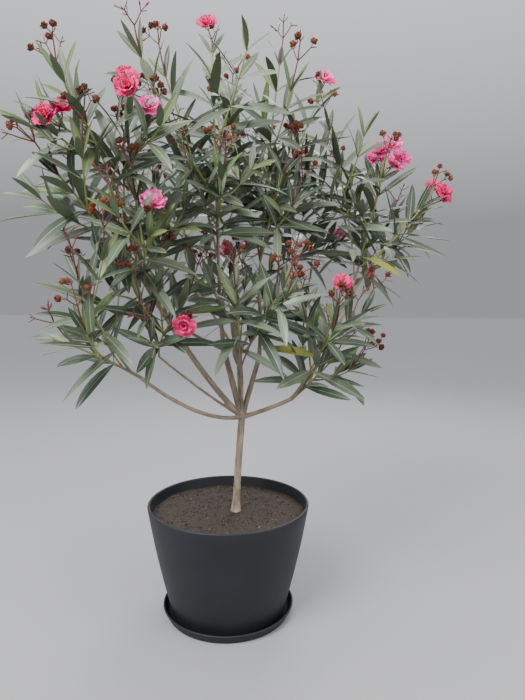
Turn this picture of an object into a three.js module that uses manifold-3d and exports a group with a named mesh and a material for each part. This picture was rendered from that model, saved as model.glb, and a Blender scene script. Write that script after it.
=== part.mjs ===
// A potted oleander grown as a small open shrub on one stem, in millimetres, +Z up.
// The origin is the middle of the saucer's underside, +X is to the right and +Y to the back.
import * as THREE from 'three';
import { mergeVertices } from 'three/addons/utils/BufferGeometryUtils.js';
import Module from 'manifold-3d';

const wasm = await Module();
wasm.setup();
const { Manifold, Mesh } = wasm;

// Gap between two solids that touch
const CLEAR = 0.3;

// Pot, saucer and soil
const ROUND_SIDES = 32;
const SAUCER_RADIUS = 236;
const SAUCER_FOOT_RADIUS = 222;
const SAUCER_HEIGHT = 34;
const SAUCER_WALL = 5;
const SAUCER_EDGE = 2;
const SAUCER_TURN_UP = 6;
const POT_HEIGHT = 395;
const POT_RIM_RADIUS = 290;
const POT_BASE_RADIUS = 203;
const POT_WALL = 10;
const POT_BELLY = 6;
const POT_CORNER = 8;
const POT_LIP = 4;
const POT_LIP_HEIGHT = 16;
const POT_EDGE = 3;
const POT_LEVELS = [0.33, 0.67];
const SOIL_TOP = 365;

// Trunk, from its flat cut on the soil to its fork
const STEM_CUT = SOIL_TOP + CLEAR;
const STEM_SUNK = 20;
const STEM_FOOT = new THREE.Vector3(25, 0, STEM_CUT - STEM_SUNK);
const FORK = new THREE.Vector3(47, 0, 708);
const STEM_BOW = -4;
const STEM_RADIUS = 13;
const FORK_RADIUS = 12.5;
const FLARE_RADIUS = 19;
const FLARE_HEIGHT = 60;

// Boughs: bearing in degrees from +X about the stem, reach from the fork's axis, height above the ground,
// sag of the middle below the straight line, and the radius at foot and tip
const LIMBS = [
  { name: 'bough_low_left', from: 'trunk', bearing: 223, reach: 409, height: 887,
    sag: 80, foot: 7, tip: 5.8 },
  { name: 'bough_left_thin', from: 'trunk', bearing: 214, reach: 314, height: 939,
    sag: 16, foot: 5, tip: 3.8 },
  { name: 'bough_left', from: 'trunk', bearing: 219, reach: 369, height: 1166,
    sag: 58, foot: 10.5, tip: 7.5 },
  { name: 'bough_centre_left', from: 'trunk', bearing: 206, reach: 69, height: 951,
    sag: 8, foot: 12, tip: 9.5 },
  { name: 'bough_centre_thin', from: 'trunk', bearing: 272, reach: 50, height: 855,
    sag: 4, foot: 6.2, tip: 4.8 },
  { name: 'bough_centre_right', from: 'trunk', bearing: 27, reach: 67, height: 917,
    sag: -4, foot: 10.5, tip: 8.5 },
  { name: 'bough_right', from: 'trunk', bearing: 341, reach: 182, height: 784,
    sag: 8, foot: 8, tip: 7 },
  { name: 'bough_back', from: 'trunk', bearing: 98, reach: 150, height: 905,
    sag: 14, foot: 9, tip: 8 },
  { name: 'bough_left_upper', from: 'bough_left', bearing: 225, reach: 468, height: 1389,
    sag: 0, foot: 6, tip: 5 },
  { name: 'bough_left_inner', from: 'bough_centre_left', bearing: 207, reach: 263, height: 1050,
    sag: 30, foot: 6, tip: 5 },
  { name: 'bough_centre_tall', from: 'bough_centre_left', bearing: 234, reach: 124, height: 1150,
    sag: 0, foot: 7.5, tip: 6.5 },
  { name: 'bough_right_tall', from: 'bough_centre_right', bearing: 46, reach: 82, height: 1160,
    sag: 0, foot: 7.5, tip: 6.5 },
  { name: 'bough_right_outer', from: 'bough_right', bearing: 10, reach: 396, height: 1139,
    sag: 16, foot: 6, tip: 5 },
  { name: 'bough_back_left', from: 'bough_back', bearing: 138, reach: 265, height: 1180,
    sag: 10, foot: 6, tip: 5 },
  { name: 'bough_back_right', from: 'bough_back', bearing: 64, reach: 290, height: 1190,
    sag: 10, foot: 6, tip: 5 },
];

// Masses of foliage: the place where each main shoot ends, and the flower head on it. The first main shoot
// grows on from the bough, and the others fork off it
const MASSES = [
  { name: 'foliage_low_left', from: 'bough_low_left', shoots: [
    { bearing: 219, reach: 590, height: 985, head: 'buds' },
    { bearing: 224, reach: 600, height: 1170, head: 'buds' },
  ] },
  { name: 'foliage_far_left', from: 'bough_left', shoots: [
    { bearing: 222, reach: 640, height: 1450, head: 'seared' },
  ] },
  { name: 'foliage_left', from: 'bough_left_upper', shoots: [
    { bearing: 225, reach: 606, height: 1645, head: 'seared' },
    { bearing: 222, reach: 631, height: 1546, head: 'bloom' },
    { bearing: 237, reach: 470, height: 1550, head: 'bloom' },
  ] },
  { name: 'foliage_left_front', from: 'bough_left', shoots: [
    { bearing: 241, reach: 485, height: 1290, head: 'bloom' },
  ] },
  { name: 'foliage_left_thin', from: 'bough_left_thin', shoots: [
    { bearing: 235, reach: 350, height: 1055, head: 'bloom' },
  ] },
  { name: 'foliage_left_inner', from: 'bough_left_inner', shoots: [
    { bearing: 214, reach: 330, height: 1425, head: 'seared' },
  ] },
  { name: 'foliage_top', from: 'bough_centre_tall', shoots: [
    { bearing: 236, reach: 165, height: 1897, head: 'bloom' },
    { bearing: 220, reach: 300, height: 1802, head: 'seared' },
    { bearing: 250, reach: 190, height: 1500, head: 'seared' },
  ] },
  { name: 'foliage_top_right', from: 'bough_right_tall', shoots: [
    { bearing: 335, reach: 135, height: 1900, head: 'buds' },
    { bearing: 2, reach: 255, height: 1804, head: 'bloom' },
    { bearing: 135, reach: 90, height: 1745, head: 'seared' },
    { bearing: 325, reach: 165, height: 1540, head: 'seared' },
  ] },
  { name: 'foliage_right_high', from: 'bough_right_outer', shoots: [
    { bearing: 14, reach: 517, height: 1565, head: 'bloom' },
    { bearing: 20, reach: 330, height: 1745, head: 'seared' },
  ] },
  { name: 'foliage_far_right', from: 'bough_right_outer', shoots: [
    { bearing: 10, reach: 650, height: 1465, head: 'bloom' },
    { bearing: 24, reach: 535, height: 1262, head: 'buds' },
  ] },
  { name: 'foliage_right_low', from: 'bough_right', shoots: [
    { bearing: 350, reach: 310, height: 912, head: 'buds' },
  ] },
  { name: 'foliage_right_front', from: 'bough_right', shoots: [
    { bearing: 324, reach: 368, height: 1090, head: 'bloom' },
  ] },
  { name: 'foliage_front', from: 'bough_centre_thin', shoots: [
    { bearing: 267, reach: 235, height: 1155, head: 'seared' },
    { bearing: 301, reach: 262, height: 1158, head: 'seared' },
  ] },
  { name: 'foliage_back_left', from: 'bough_back_left', shoots: [
    { bearing: 136, reach: 330, height: 1640, head: 'seared' },
    { bearing: 155, reach: 465, height: 1310, head: 'buds' },
  ] },
  { name: 'foliage_back', from: 'bough_back', shoots: [
    { bearing: 100, reach: 430, height: 1270, head: 'bloom' },
  ] },
  { name: 'foliage_back_right', from: 'bough_back_right', shoots: [
    { bearing: 72, reach: 330, height: 1690, head: 'seared' },
    { bearing: 46, reach: 480, height: 1340, head: 'bloom' },
  ] },
];

// How a limb or shoot bends: how far it follows its parent's line, and where along it the bend lies
const FOLLOW = 0.3;
const BEND_AT = 0.45;

// Sides and steps of the faceted limbs, shoots and twigs
const STEM_SIDES = 10;
const LIMB_SIDES = 6;
const SHOOT_SIDES = 4;
const SHOOT_STEPS = 4;
const TWIG_SIDES = 3;
const TWIG_STEPS = 2;
const LIMB_STEP = 110;
const FEWEST_STEPS = 3;
const MEASURE_STEP = 60;

// Arms of a fork: the length they start from, the most they may have, and the gap that parts them
const ARM_LENGTH = 18;
const ARM_STEP = 4;
const LONGEST_ARM = 150;
const ARM_GAP = 1.5;

// Main shoots and their side shoots
const SECOND_FORK = 0.14;
const MAIN_RADIUS = 5;
const MAIN_SHARE = 0.8;
const MAIN_TIP_RADIUS = 2.6;
const TWIG_RADIUS = 3.2;
const TWIG_TIP_RADIUS = 2;
const SIDE_SHOOTS = 2;
const GOLDEN_TURN = 137.5;
const GOLDEN_SHARE = 0.618;
const FIRST_SIDE = 0.28;
const SIDE_STRETCH = 0.5;
const SIDE_SHIFT = 0.03;
const SIDE_TURN = 25;
const MAIN_TURN = 40;
const SIDE_SPREAD = [36, 52];
const SIDE_LENGTH = [0.8, 1.05];
const SHORTEST_SIDE = 150;
const SIDE_BEND = 0.5;
const SIDE_OUT = 0.36;
const SIDE_RISE = 0.22;

// Leaves in whorls of three, steeper towards the tip of the shoot
const LEAF_LENGTH = 195;
const LEAF_WIDTH = 34;
const LEAF_THICKNESS = 3;
const LEAF_WIDEST = 0.45;
const LEAF_ARCH = 0.05;
const LEAF_SPREAD = [0.86, 1.06];
const TOP_LEAF = 0.86;
const TOP_WHORL = 8;
const WHORL_SPACING = 50;
const WHORLS = 6;
const WHORL_STEP = 2;
const WHORL_TURN = 60;
const SEED_TURN = 25;
const LEAVES_IN_WHORL = 3;
const LEAF_TURN = 14;
const TOP_LEAN = 38;
const LEAN_STEP = 10;
const LEAF_LEAN = 8;
const BARE_SHARE = 0.3;
const ROOT_SINK = 0.3;
const ROOT_LENGTH = 14;
const TWIG_ROOM = 12;
const MASS_ROOM = 36;
const LEAF_ROOM = 2;
const LEAF_TRIES = [1, 0.93];
const CORNER_GRIDS = [0.001, 0.0001];

// Flower heads: length of the stalk, radius of a flower, how many, and how far they stand off the stalk
const HEADS = {
  bloom: { stalk: 105, radius: 31, count: 2, offset: 15 },
  seared: { stalk: 125, radius: 15, count: 2, offset: 5 },
  buds: { stalk: 95, radius: 9, count: 1, offset: 2 },
};
const STALK_SUNK = 6;
const STALK_TIP_RADIUS = 1.4;
const HEAD_SPACING = 0.62;
const ROUND_HEAD = 20;

const UP = new THREE.Vector3(0, 0, 1);
const rad = THREE.MathUtils.degToRad;

// A seeded row of chances, each between the two values it is asked for
function chance(seed) {
  let state = seed * 7919 + 13;
  const next = () => {
    state = (state * 16807) % 2147483647;
    return state / 2147483647;
  };
  next();
  next();
  return (low, high) => low + (high - low) * next();
}

function solidOf(geometry) {
  const bare = geometry.clone();
  bare.deleteAttribute('normal');
  bare.deleteAttribute('uv');
  const joined = mergeVertices(bare, 1e-3);
  return new Manifold(new Mesh({
    numProp: 3,
    vertProperties: new Float32Array(joined.attributes.position.array),
    triVerts: new Uint32Array(joined.index.array),
  }));
}

// The largest body of a union, without the hollows and scraps that fusing leaves
function mainBody(solids) {
  const bodies = Manifold.union(solids).decompose();
  return bodies.reduce((best, body) => (body.volume() > best.volume() ? body : best));
}

// Whether a solid is still one closed surface when corners that nearly meet fall together
function staysClosed(solid) {
  const { numProp, vertProperties, triVerts } = solid.getMesh();
  return CORNER_GRIDS.every((grid) => {
    const named = Array.from({ length: vertProperties.length / numProp }, (_, i) => (
      [0, 1, 2].map((axis) => Math.round(vertProperties[i * numProp + axis] / grid)).join()));
    const edges = new Map();
    for (let i = 0; i < triVerts.length; i += 3) {
      const corners = [0, 1, 2].map((k) => named[triVerts[i + k]]);
      if (new Set(corners).size < 3) continue;
      corners.forEach((corner, k) => {
        const next = corners[(k + 1) % 3];
        const edge = corner < next ? corner + ' ' + next : next + ' ' + corner;
        edges.set(edge, (edges.get(edge) ?? 0) + 1);
      });
    }
    return [...edges.values()].every((uses) => uses === 2);
  });
}

function geometryOf(solid) {
  const mesh = solid.getMesh();
  const geometry = new THREE.BufferGeometry();
  geometry.setAttribute('position', new THREE.BufferAttribute(new Float32Array(mesh.vertProperties), 3));
  geometry.setIndex(new THREE.BufferAttribute(new Uint32Array(mesh.triVerts), 1));
  geometry.computeVertexNormals();
  return geometry;
}

// A point by its bearing and reach from the fork's axis and its height above the ground
function place({ bearing, reach, height }) {
  const turn = rad(bearing);
  return new THREE.Vector3(FORK.x + reach * Math.cos(turn), FORK.y + reach * Math.sin(turn), height);
}

// Two directions square to a limb at one point of its path, held steady along it
function across(path, tangent) {
  const chord = path.getPointAt(1).sub(path.getPointAt(0));
  const level = new THREE.Vector3().crossVectors(chord, UP);
  if (level.length() < 0.05 * chord.length()) level.set(1, 0, 0);
  const side = level.addScaledVector(tangent, -level.dot(tangent)).normalize();
  return [side, new THREE.Vector3().crossVectors(side, tangent)];
}

// A tapering round limb along part of a path
function tube({ path, radiusAt }, start, end, sides, steps) {
  const geometry = new THREE.CylinderGeometry(1, 1, 1, sides, steps);
  const position = geometry.attributes.position;
  for (let i = 0; i < position.count; i += 1) {
    const share = start + (position.getY(i) + 0.5) * (end - start);
    const tangent = path.getTangentAt(share);
    const [side, front] = across(path, tangent);
    const radius = radiusAt(share);
    const point = path.getPointAt(share)
      .addScaledVector(side, position.getX(i) * radius)
      .addScaledVector(front, position.getZ(i) * radius);
    position.setXYZ(i, point.x, point.y, point.z);
  }
  return solidOf(geometry);
}

function taper(foot, tip) {
  return (share) => foot + (tip - foot) * share;
}

// Pot, saucer and soil, each turned round the Z axis
function turned(profile) {
  const points = profile.map(([radius, height]) => new THREE.Vector2(radius, height));
  return new THREE.LatheGeometry(points, ROUND_SIDES).rotateX(Math.PI / 2);
}

const POT_FOOT = SAUCER_WALL + CLEAR;
const POT_TOP = POT_FOOT + POT_HEIGHT;

// Outer radius of the pot at a height: a straight cone with a slight belly
function potRadius(height) {
  const share = (height - POT_FOOT) / POT_HEIGHT;
  const taper = (POT_RIM_RADIUS - POT_BASE_RADIUS) * share;
  return POT_BASE_RADIUS + taper + POT_BELLY * Math.sin(Math.PI * share);
}

function makeSaucer() {
  const inner = SAUCER_RADIUS - SAUCER_WALL;
  return turned([
    [0, 0],
    [SAUCER_FOOT_RADIUS, 0],
    [SAUCER_RADIUS - SAUCER_EDGE, SAUCER_HEIGHT - SAUCER_TURN_UP],
    [SAUCER_RADIUS, SAUCER_HEIGHT - SAUCER_EDGE],
    [SAUCER_RADIUS - SAUCER_EDGE, SAUCER_HEIGHT],
    [inner, SAUCER_HEIGHT - SAUCER_EDGE],
    [SAUCER_FOOT_RADIUS - SAUCER_WALL, SAUCER_WALL],
    [0, SAUCER_WALL],
  ]);
}

function makePot() {
  const floor = POT_FOOT + POT_WALL;
  const below = POT_TOP - POT_LIP_HEIGHT;
  const lip = POT_RIM_RADIUS + POT_LIP;
  const levels = POT_LEVELS.map((share) => POT_FOOT + share * POT_HEIGHT);
  return turned([
    [0, POT_FOOT],
    [POT_BASE_RADIUS - POT_CORNER, POT_FOOT],
    [potRadius(POT_FOOT + POT_CORNER), POT_FOOT + POT_CORNER],
    ...levels.map((height) => [potRadius(height), height]),
    [potRadius(below), below],
    [lip, below + POT_LIP],
    [lip, POT_TOP - POT_EDGE],
    [lip - POT_EDGE, POT_TOP],
    [POT_RIM_RADIUS - POT_WALL, POT_TOP - POT_EDGE],
    ...levels.reverse().map((height) => [potRadius(height) - POT_WALL, height]),
    [potRadius(floor) - POT_WALL, floor],
    [0, floor],
  ]);
}

function makeSoil() {
  const gap = POT_WALL + 2 * CLEAR;
  const floor = POT_FOOT + POT_WALL + CLEAR;
  const levels = POT_LEVELS.map((share) => POT_FOOT + share * POT_HEIGHT);
  return turned([
    [0, floor],
    [potRadius(floor) - gap, floor],
    ...levels.map((height) => [potRadius(height) - gap, height]),
    [potRadius(SOIL_TOP) - gap, SOIL_TOP],
    [0, SOIL_TOP],
  ]);
}

// Every limb and every leading shoot, each with its path, its radius and the limb that it grows from
const grown = new Map();

function makeTrunkPath() {
  const middle = STEM_FOOT.clone().lerp(FORK, 0.5);
  middle.x += STEM_BOW;
  const path = new THREE.QuadraticBezierCurve3(STEM_FOOT, middle, FORK);
  const length = path.getLength();
  const radiusAt = (share) => {
    const flare = Math.max(0, 1 - (share * length - STEM_SUNK) / FLARE_HEIGHT);
    return STEM_RADIUS + (FORK_RADIUS - STEM_RADIUS) * share + (FLARE_RADIUS - STEM_RADIUS) * flare * flare;
  };
  return { path, radiusAt, length };
}

// A path that sets off partly along the line of the limb it leaves and sags a little
function bentPath(start, end, onward, follow, sag) {
  const way = end.clone().sub(start);
  const length = way.length();
  const setOff = way.normalize().multiplyScalar(1 - follow).addScaledVector(onward, follow).normalize();
  const middle = start.clone().addScaledVector(setOff, BEND_AT * length);
  middle.z -= sag;
  return new THREE.QuadraticBezierCurve3(start, middle, end);
}

function growLimb(limb) {
  const parent = grown.get(limb.from);
  const follow = limb.from === 'trunk' ? 0 : FOLLOW;
  const onward = parent.path.getTangentAt(1);
  const path = bentPath(parent.path.getPointAt(1), place(limb), onward, follow, limb.sag);
  return { path, radiusAt: taper(limb.foot, limb.tip), length: path.getLength() };
}

function growMain(parent, share, shoot) {
  const onward = parent.path.getTangentAt(share);
  const path = bentPath(parent.path.getPointAt(share), place(shoot), onward, FOLLOW, 0);
  const foot = Math.min(MAIN_SHARE * parent.radiusAt(share), MAIN_RADIUS);
  return { path, radiusAt: taper(foot, MAIN_TIP_RADIUS), length: path.getLength(), head: shoot.head };
}

// Side shoots leave a main shoot at a golden turn round it, lean out and bend up
function growSideShoots(main, seed, count) {
  return Array.from({ length: count }, (_, i) => {
    const draw = chance(seed * 100 + i);
    const share = FIRST_SIDE + SIDE_STRETCH * ((i * GOLDEN_SHARE) % 1) + draw(-SIDE_SHIFT, SIDE_SHIFT);
    const turn = rad(i * GOLDEN_TURN + seed * MAIN_TURN + draw(-SIDE_TURN, SIDE_TURN));
    const spread = rad(draw(...SIDE_SPREAD));
    const tangent = main.path.getTangentAt(share);
    const [side, front] = across(main.path, tangent);
    const out = side.multiplyScalar(Math.cos(turn)).addScaledVector(front, Math.sin(turn));
    const way = tangent.multiplyScalar(Math.cos(spread)).addScaledVector(out, Math.sin(spread));
    const length = Math.max(SHORTEST_SIDE, main.length * (1 - share) * draw(...SIDE_LENGTH));
    const start = main.path.getPointAt(share);
    const middle = start.clone().addScaledVector(way, SIDE_BEND * length);
    const end = middle.clone().addScaledVector(way, SIDE_OUT * length)
      .addScaledVector(UP, SIDE_RISE * length);
    const path = new THREE.QuadraticBezierCurve3(start, middle, end);
    const radiusAt = taper(TWIG_RADIUS, TWIG_TIP_RADIUS);
    return { path, radiusAt, length: path.getLength(), seed: seed * 10 + i + 1 };
  });
}

// Straight pieces of a path, with the radius there, for measuring distances
function piecesOf({ path, radiusAt, length }) {
  const steps = Math.max(FEWEST_STEPS, Math.ceil(length / MEASURE_STEP));
  return Array.from({ length: steps }, (_, i) => ({
    line: new THREE.Line3(path.getPointAt(i / steps), path.getPointAt((i + 1) / steps)),
    radius: radiusAt(i / steps),
  }));
}

const nearest = new THREE.Vector3();

function distanceTo(pieces, point) {
  let least = Infinity;
  for (const { line, radius } of pieces) {
    line.closestPointToPoint(point, true, nearest);
    least = Math.min(least, nearest.distanceTo(point) - radius);
  }
  return least;
}

// How far along each limb its fork's arms run before they stand apart
function armLength(children) {
  const apart = (length) => {
    const points = children.map((child) => child.path.getPointAt(Math.min(1, length / child.length)));
    return children.every((a, i) => children.slice(i + 1).every((b, j) => (
      points[i].distanceTo(points[i + 1 + j]) >= a.radiusAt(0) + b.radiusAt(0) + ARM_GAP)));
  };
  let length = ARM_LENGTH;
  while (length < LONGEST_ARM && !apart(length)) length += ARM_STEP;
  return length;
}

// One leaf: a lance-shaped blade of eight faces, arched a little, its root sunk past the twig's middle
function makeLeaf(leaf) {
  const geometry = new THREE.OctahedronGeometry(1, 0);
  const position = geometry.attributes.position;
  for (let i = 0; i < position.count; i += 1) {
    const x = position.getX(i);
    const y = position.getY(i);
    const z = position.getZ(i);
    const widest = Math.abs(y) < 0.5;
    const along = leaf.length * (widest ? LEAF_WIDEST : (y + 1) / 2);
    const lift = (z * LEAF_THICKNESS) / 2 + (widest ? leaf.length * LEAF_ARCH : 0);
    const point = leaf.root.clone()
      .addScaledVector(leaf.way, along)
      .addScaledVector(leaf.side, (x * leaf.width) / 2)
      .addScaledVector(leaf.face, lift);
    position.setXYZ(i, point.x, point.y, point.z);
  }
  return solidOf(geometry);
}

// Whorls of three leaves down a shoot, the upper ones steeper and shorter
function leavesOf(shoot) {
  const leaves = [];
  for (let whorl = 0; whorl < WHORLS; whorl += WHORL_STEP) {
    const along = shoot.length - TOP_WHORL - whorl * WHORL_SPACING;
    const share = along / shoot.length;
    if (share < BARE_SHARE) break;
    const tangent = shoot.path.getTangentAt(share);
    const [side, front] = across(shoot.path, tangent);
    for (let k = 0; k < LEAVES_IN_WHORL; k += 1) {
      const draw = chance(shoot.seed * 100 + whorl * 10 + k);
      const placed = (k * 360) / LEAVES_IN_WHORL + whorl * WHORL_TURN + shoot.seed * SEED_TURN;
      const turn = rad(placed + draw(-LEAF_TURN, LEAF_TURN));
      const lean = rad(TOP_LEAN + whorl * LEAN_STEP + draw(-LEAF_LEAN, LEAF_LEAN));
      const length = LEAF_LENGTH * (whorl === 0 ? TOP_LEAF : 1) * draw(...LEAF_SPREAD);
      const out = side.clone().multiplyScalar(Math.cos(turn)).addScaledVector(front, Math.sin(turn));
      const way = tangent.clone().multiplyScalar(Math.cos(lean)).addScaledVector(out, Math.sin(lean));
      const edge = new THREE.Vector3().crossVectors(way, tangent).normalize();
      const face = new THREE.Vector3().crossVectors(edge, way);
      const root = shoot.path.getPointAt(share).addScaledVector(way, -ROOT_SINK * shoot.radiusAt(share));
      leaves.push({ root, way, side: edge, face, length, width: (LEAF_WIDTH * length) / LEAF_LENGTH });
    }
  }
  return leaves;
}

// The same leaf without the root that is sunk in its twig
function pulledOut(leaf) {
  const root = leaf.root.clone().addScaledVector(leaf.way, ROOT_LENGTH);
  return { ...leaf, root, length: leaf.length - ROOT_LENGTH };
}

// Points along a leaf, each with the leaf's half width there
function feelersOf(leaf) {
  return [0.2, 0.35, 0.5, 0.65, 0.8, 1].map((share) => {
    const broad = share < LEAF_WIDEST ? share / LEAF_WIDEST : (1 - share) / (1 - LEAF_WIDEST);
    const point = leaf.root.clone().addScaledVector(leaf.way, share * leaf.length);
    return { point, half: (leaf.width / 2) * broad };
  });
}

// A flower head: a stalk that carries on from the shoot, with flowers, dry heads or buds fused on it
function headOf(shoot) {
  const head = HEADS[shoot.head];
  const tangent = shoot.path.getTangentAt(1);
  const start = shoot.path.getPointAt(1).addScaledVector(tangent, -STALK_SUNK);
  const end = start.clone().addScaledVector(tangent, head.stalk);
  const radiusAt = taper(TWIG_TIP_RADIUS, STALK_TIP_RADIUS);
  const stalk = { path: new THREE.LineCurve3(start, end), radiusAt, length: head.stalk };
  const [side, front] = across(stalk.path, tangent);
  const draw = chance(shoot.seed * 31 + 5);
  const balls = Array.from({ length: head.count }, (_, i) => {
    const turn = rad(i * GOLDEN_TURN + draw(0, 90));
    const share = 1 - (i * HEAD_SPACING * head.radius) / head.stalk;
    return stalk.path.getPointAt(share)
      .addScaledVector(side, head.offset * Math.cos(turn))
      .addScaledVector(front, head.offset * Math.sin(turn));
  });
  return { stalk, balls, radius: head.radius };
}

function makeHead({ stalk, balls, radius }) {
  const flowers = balls.map((ball) => {
    const round = radius > ROUND_HEAD;
    const geometry = round ? new THREE.IcosahedronGeometry(radius, 0)
      : new THREE.OctahedronGeometry(radius, 0);
    return solidOf(geometry.translate(ball.x, ball.y, ball.z));
  });
  return [tube(stalk, 0, 1, TWIG_SIDES, 1), ...flowers];
}

const trunk = makeTrunkPath();
grown.set('trunk', trunk);
LIMBS.forEach((limb) => grown.set(limb.name, growLimb(limb)));
MASSES.forEach((mass) => grown.set(mass.name, growMain(grown.get(mass.from), 1, mass.shoots[0])));

// The arms of a fork belong to the limb below it, and the next limb starts just clear of its arm
const rows = [...LIMBS, ...MASSES];
const arms = new Map();
['trunk', ...LIMBS.map((limb) => limb.name)].forEach((name) => {
  const children = rows.filter((row) => row.from === name).map((row) => grown.get(row.name));
  arms.set(name, armLength(children));
});

function makeLimb(name, start, sides) {
  const limb = grown.get(name);
  const arm = arms.get(name);
  const steps = Math.max(FEWEST_STEPS, Math.round(limb.length / LIMB_STEP));
  const fork = rows.filter((row) => row.from === name).map((row) => {
    const child = grown.get(row.name);
    return tube(child, 0, arm / child.length, LIMBS.includes(row) ? LIMB_SIDES : SHOOT_SIDES, 1);
  });
  return mainBody([tube(limb, start, 1, sides, steps), ...fork]);
}

// The stem's foot is cut off level with the top of the soil
function makeTrunk() {
  const below = solidOf(new THREE.BoxGeometry(200, 200, 200).translate(0, 0, STEM_CUT - 100));
  return makeLimb('trunk', 0, STEM_SIDES).subtract(below);
}

const startOf = (row) => (arms.get(row.from) + CLEAR) / grown.get(row.name).length;

// Each mass keeps to the space that is nearer to its own shoots than to any other mass's shoots
const limbNames = ['trunk', ...LIMBS.map((limb) => limb.name)];
const limbPieces = limbNames.flatMap((name) => piecesOf(grown.get(name)));
let mainCount = 0;
const foliage = MASSES.map((mass) => {
  const first = grown.get(mass.name);
  const mains = [first, ...mass.shoots.slice(1).map((shoot) => growMain(first, SECOND_FORK, shoot))];
  mains.forEach((main) => {
    mainCount += 1;
    main.seed = mainCount * 10;
  });
  const heads = mains.map(headOf);
  const pieces = [...mains, ...heads.map((head) => head.stalk)].flatMap(piecesOf);
  return { mass, mains, heads, sides: [], pieces };
});

function clearOfOthers(own, point, margin) {
  const home = distanceTo(own.pieces, point);
  return foliage.every((other) => other === own || distanceTo(other.pieces, point) > home + margin);
}

foliage.forEach((own) => {
  own.mains.flatMap((main) => growSideShoots(main, main.seed, SIDE_SHOOTS)).forEach((shoot) => {
    const points = [0.25, 0.5, 0.75, 1].map((share) => shoot.path.getPointAt(share));
    const free = points.every((point) => distanceTo(limbPieces, point) > TWIG_ROOM
      && foliage.every((other) => other === own || distanceTo(other.pieces, point) > MASS_ROOM));
    if (!free) return;
    own.sides.push(shoot);
    own.pieces.push(...piecesOf(shoot));
  });
});

// Whether a leaf keeps to its mass's space, clear of the limbs and of the leaves that are there
function fits(own, fused, leaf) {
  const roomy = feelersOf(leaf).every(({ point, half }) => distanceTo(limbPieces, point) > half + LEAF_ROOM
    && clearOfOthers(own, point, half + LEAF_ROOM));
  if (!roomy || !fused.intersect(makeLeaf(pulledOut(leaf))).isEmpty()) return false;
  return staysClosed(fused.add(makeLeaf(leaf)));
}

function makeFoliage(own) {
  const start = startOf({ name: own.mass.name, from: own.mass.from });
  const [first, ...others] = own.mains;
  let fused = tube(first, start, 1, SHOOT_SIDES, SHOOT_STEPS);
  others.forEach((main) => {
    fused = fused.add(tube(main, 0, 1, SHOOT_SIDES, SHOOT_STEPS));
  });
  own.sides.forEach((shoot) => {
    fused = fused.add(tube(shoot, 0, 1, TWIG_SIDES, TWIG_STEPS));
  });
  own.heads.flatMap(makeHead).forEach((piece) => {
    fused = fused.add(piece);
  });
  [...own.mains, ...own.sides].flatMap(leavesOf).forEach((leaf) => {
    const trials = LEAF_TRIES.map((share) => ({ ...leaf, length: leaf.length * share }));
    const blade = trials.find((trial) => fits(own, fused, trial));
    if (blade) fused = fused.add(makeLeaf(blade));
  });
  return mainBody([fused]);
}

// The named meshes of the plant and its pot
const plant = new THREE.Group();
const finishes = {
  pot: new THREE.MeshStandardMaterial({ color: 0x2b2d30, roughness: 0.55, metalness: 0 }),
  soil: new THREE.MeshStandardMaterial({ color: 0x3a2c22, roughness: 0.95, metalness: 0 }),
  bark: new THREE.MeshStandardMaterial({ color: 0x8d7a66, roughness: 0.85, metalness: 0 }),
  leaf: new THREE.MeshStandardMaterial({ color: 0x5b7360, roughness: 0.55, metalness: 0 }),
};

function add(name, geometry, finish) {
  const mesh = new THREE.Mesh(geometry, finish.clone());
  mesh.name = name;
  plant.add(mesh);
}

add('saucer', makeSaucer(), finishes.pot);
add('pot', makePot(), finishes.pot);
add('soil', makeSoil(), finishes.soil);
add('trunk', geometryOf(makeTrunk()), finishes.bark);
LIMBS.forEach((limb) => {
  add(limb.name, geometryOf(makeLimb(limb.name, startOf(limb), LIMB_SIDES)), finishes.bark);
});
foliage.forEach((own) => add(own.mass.name, geometryOf(makeFoliage(own)), finishes.leaf));

export default plant;
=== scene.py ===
"""Dresses the potted oleander: bark, shoots, leaves, flowers, pot, soil and a plain studio."""
import math

import bpy
import numpy as np
from mathutils import Matrix, Vector, kdtree, noise


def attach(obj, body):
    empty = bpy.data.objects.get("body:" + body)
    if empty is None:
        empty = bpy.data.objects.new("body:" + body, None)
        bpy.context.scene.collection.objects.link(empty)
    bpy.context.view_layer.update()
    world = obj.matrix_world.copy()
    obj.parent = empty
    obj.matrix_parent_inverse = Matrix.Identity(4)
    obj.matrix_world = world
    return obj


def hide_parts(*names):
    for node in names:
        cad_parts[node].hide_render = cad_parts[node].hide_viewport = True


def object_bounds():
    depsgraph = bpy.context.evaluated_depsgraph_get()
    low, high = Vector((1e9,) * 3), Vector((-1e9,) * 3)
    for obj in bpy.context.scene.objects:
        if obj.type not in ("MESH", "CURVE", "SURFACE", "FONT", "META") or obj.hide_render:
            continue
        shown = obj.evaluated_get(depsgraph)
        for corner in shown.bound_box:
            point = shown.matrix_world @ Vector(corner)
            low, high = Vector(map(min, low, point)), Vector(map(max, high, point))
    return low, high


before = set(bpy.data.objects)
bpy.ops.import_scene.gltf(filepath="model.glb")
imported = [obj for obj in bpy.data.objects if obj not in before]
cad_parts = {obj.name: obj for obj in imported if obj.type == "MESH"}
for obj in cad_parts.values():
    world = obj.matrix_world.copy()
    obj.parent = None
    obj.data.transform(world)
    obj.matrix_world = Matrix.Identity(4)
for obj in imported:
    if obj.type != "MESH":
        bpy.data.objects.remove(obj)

bl_info = {
    "name": "Potted oleander",
    "version": (1, 0, 0),
    "blender": (4, 5, 0),
    "location": "3D View > Sidebar > Oleander",
    "description": "Grows bark, shoots, leaves and flowers on the limbs of a potted oleander",
    "category": "Object",
}

CAD_BOX = [list(map(float, corner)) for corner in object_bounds()]
MM = 0.001
BODY = "root"
UP = Vector((0.0, 0.0, 1.0))

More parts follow.
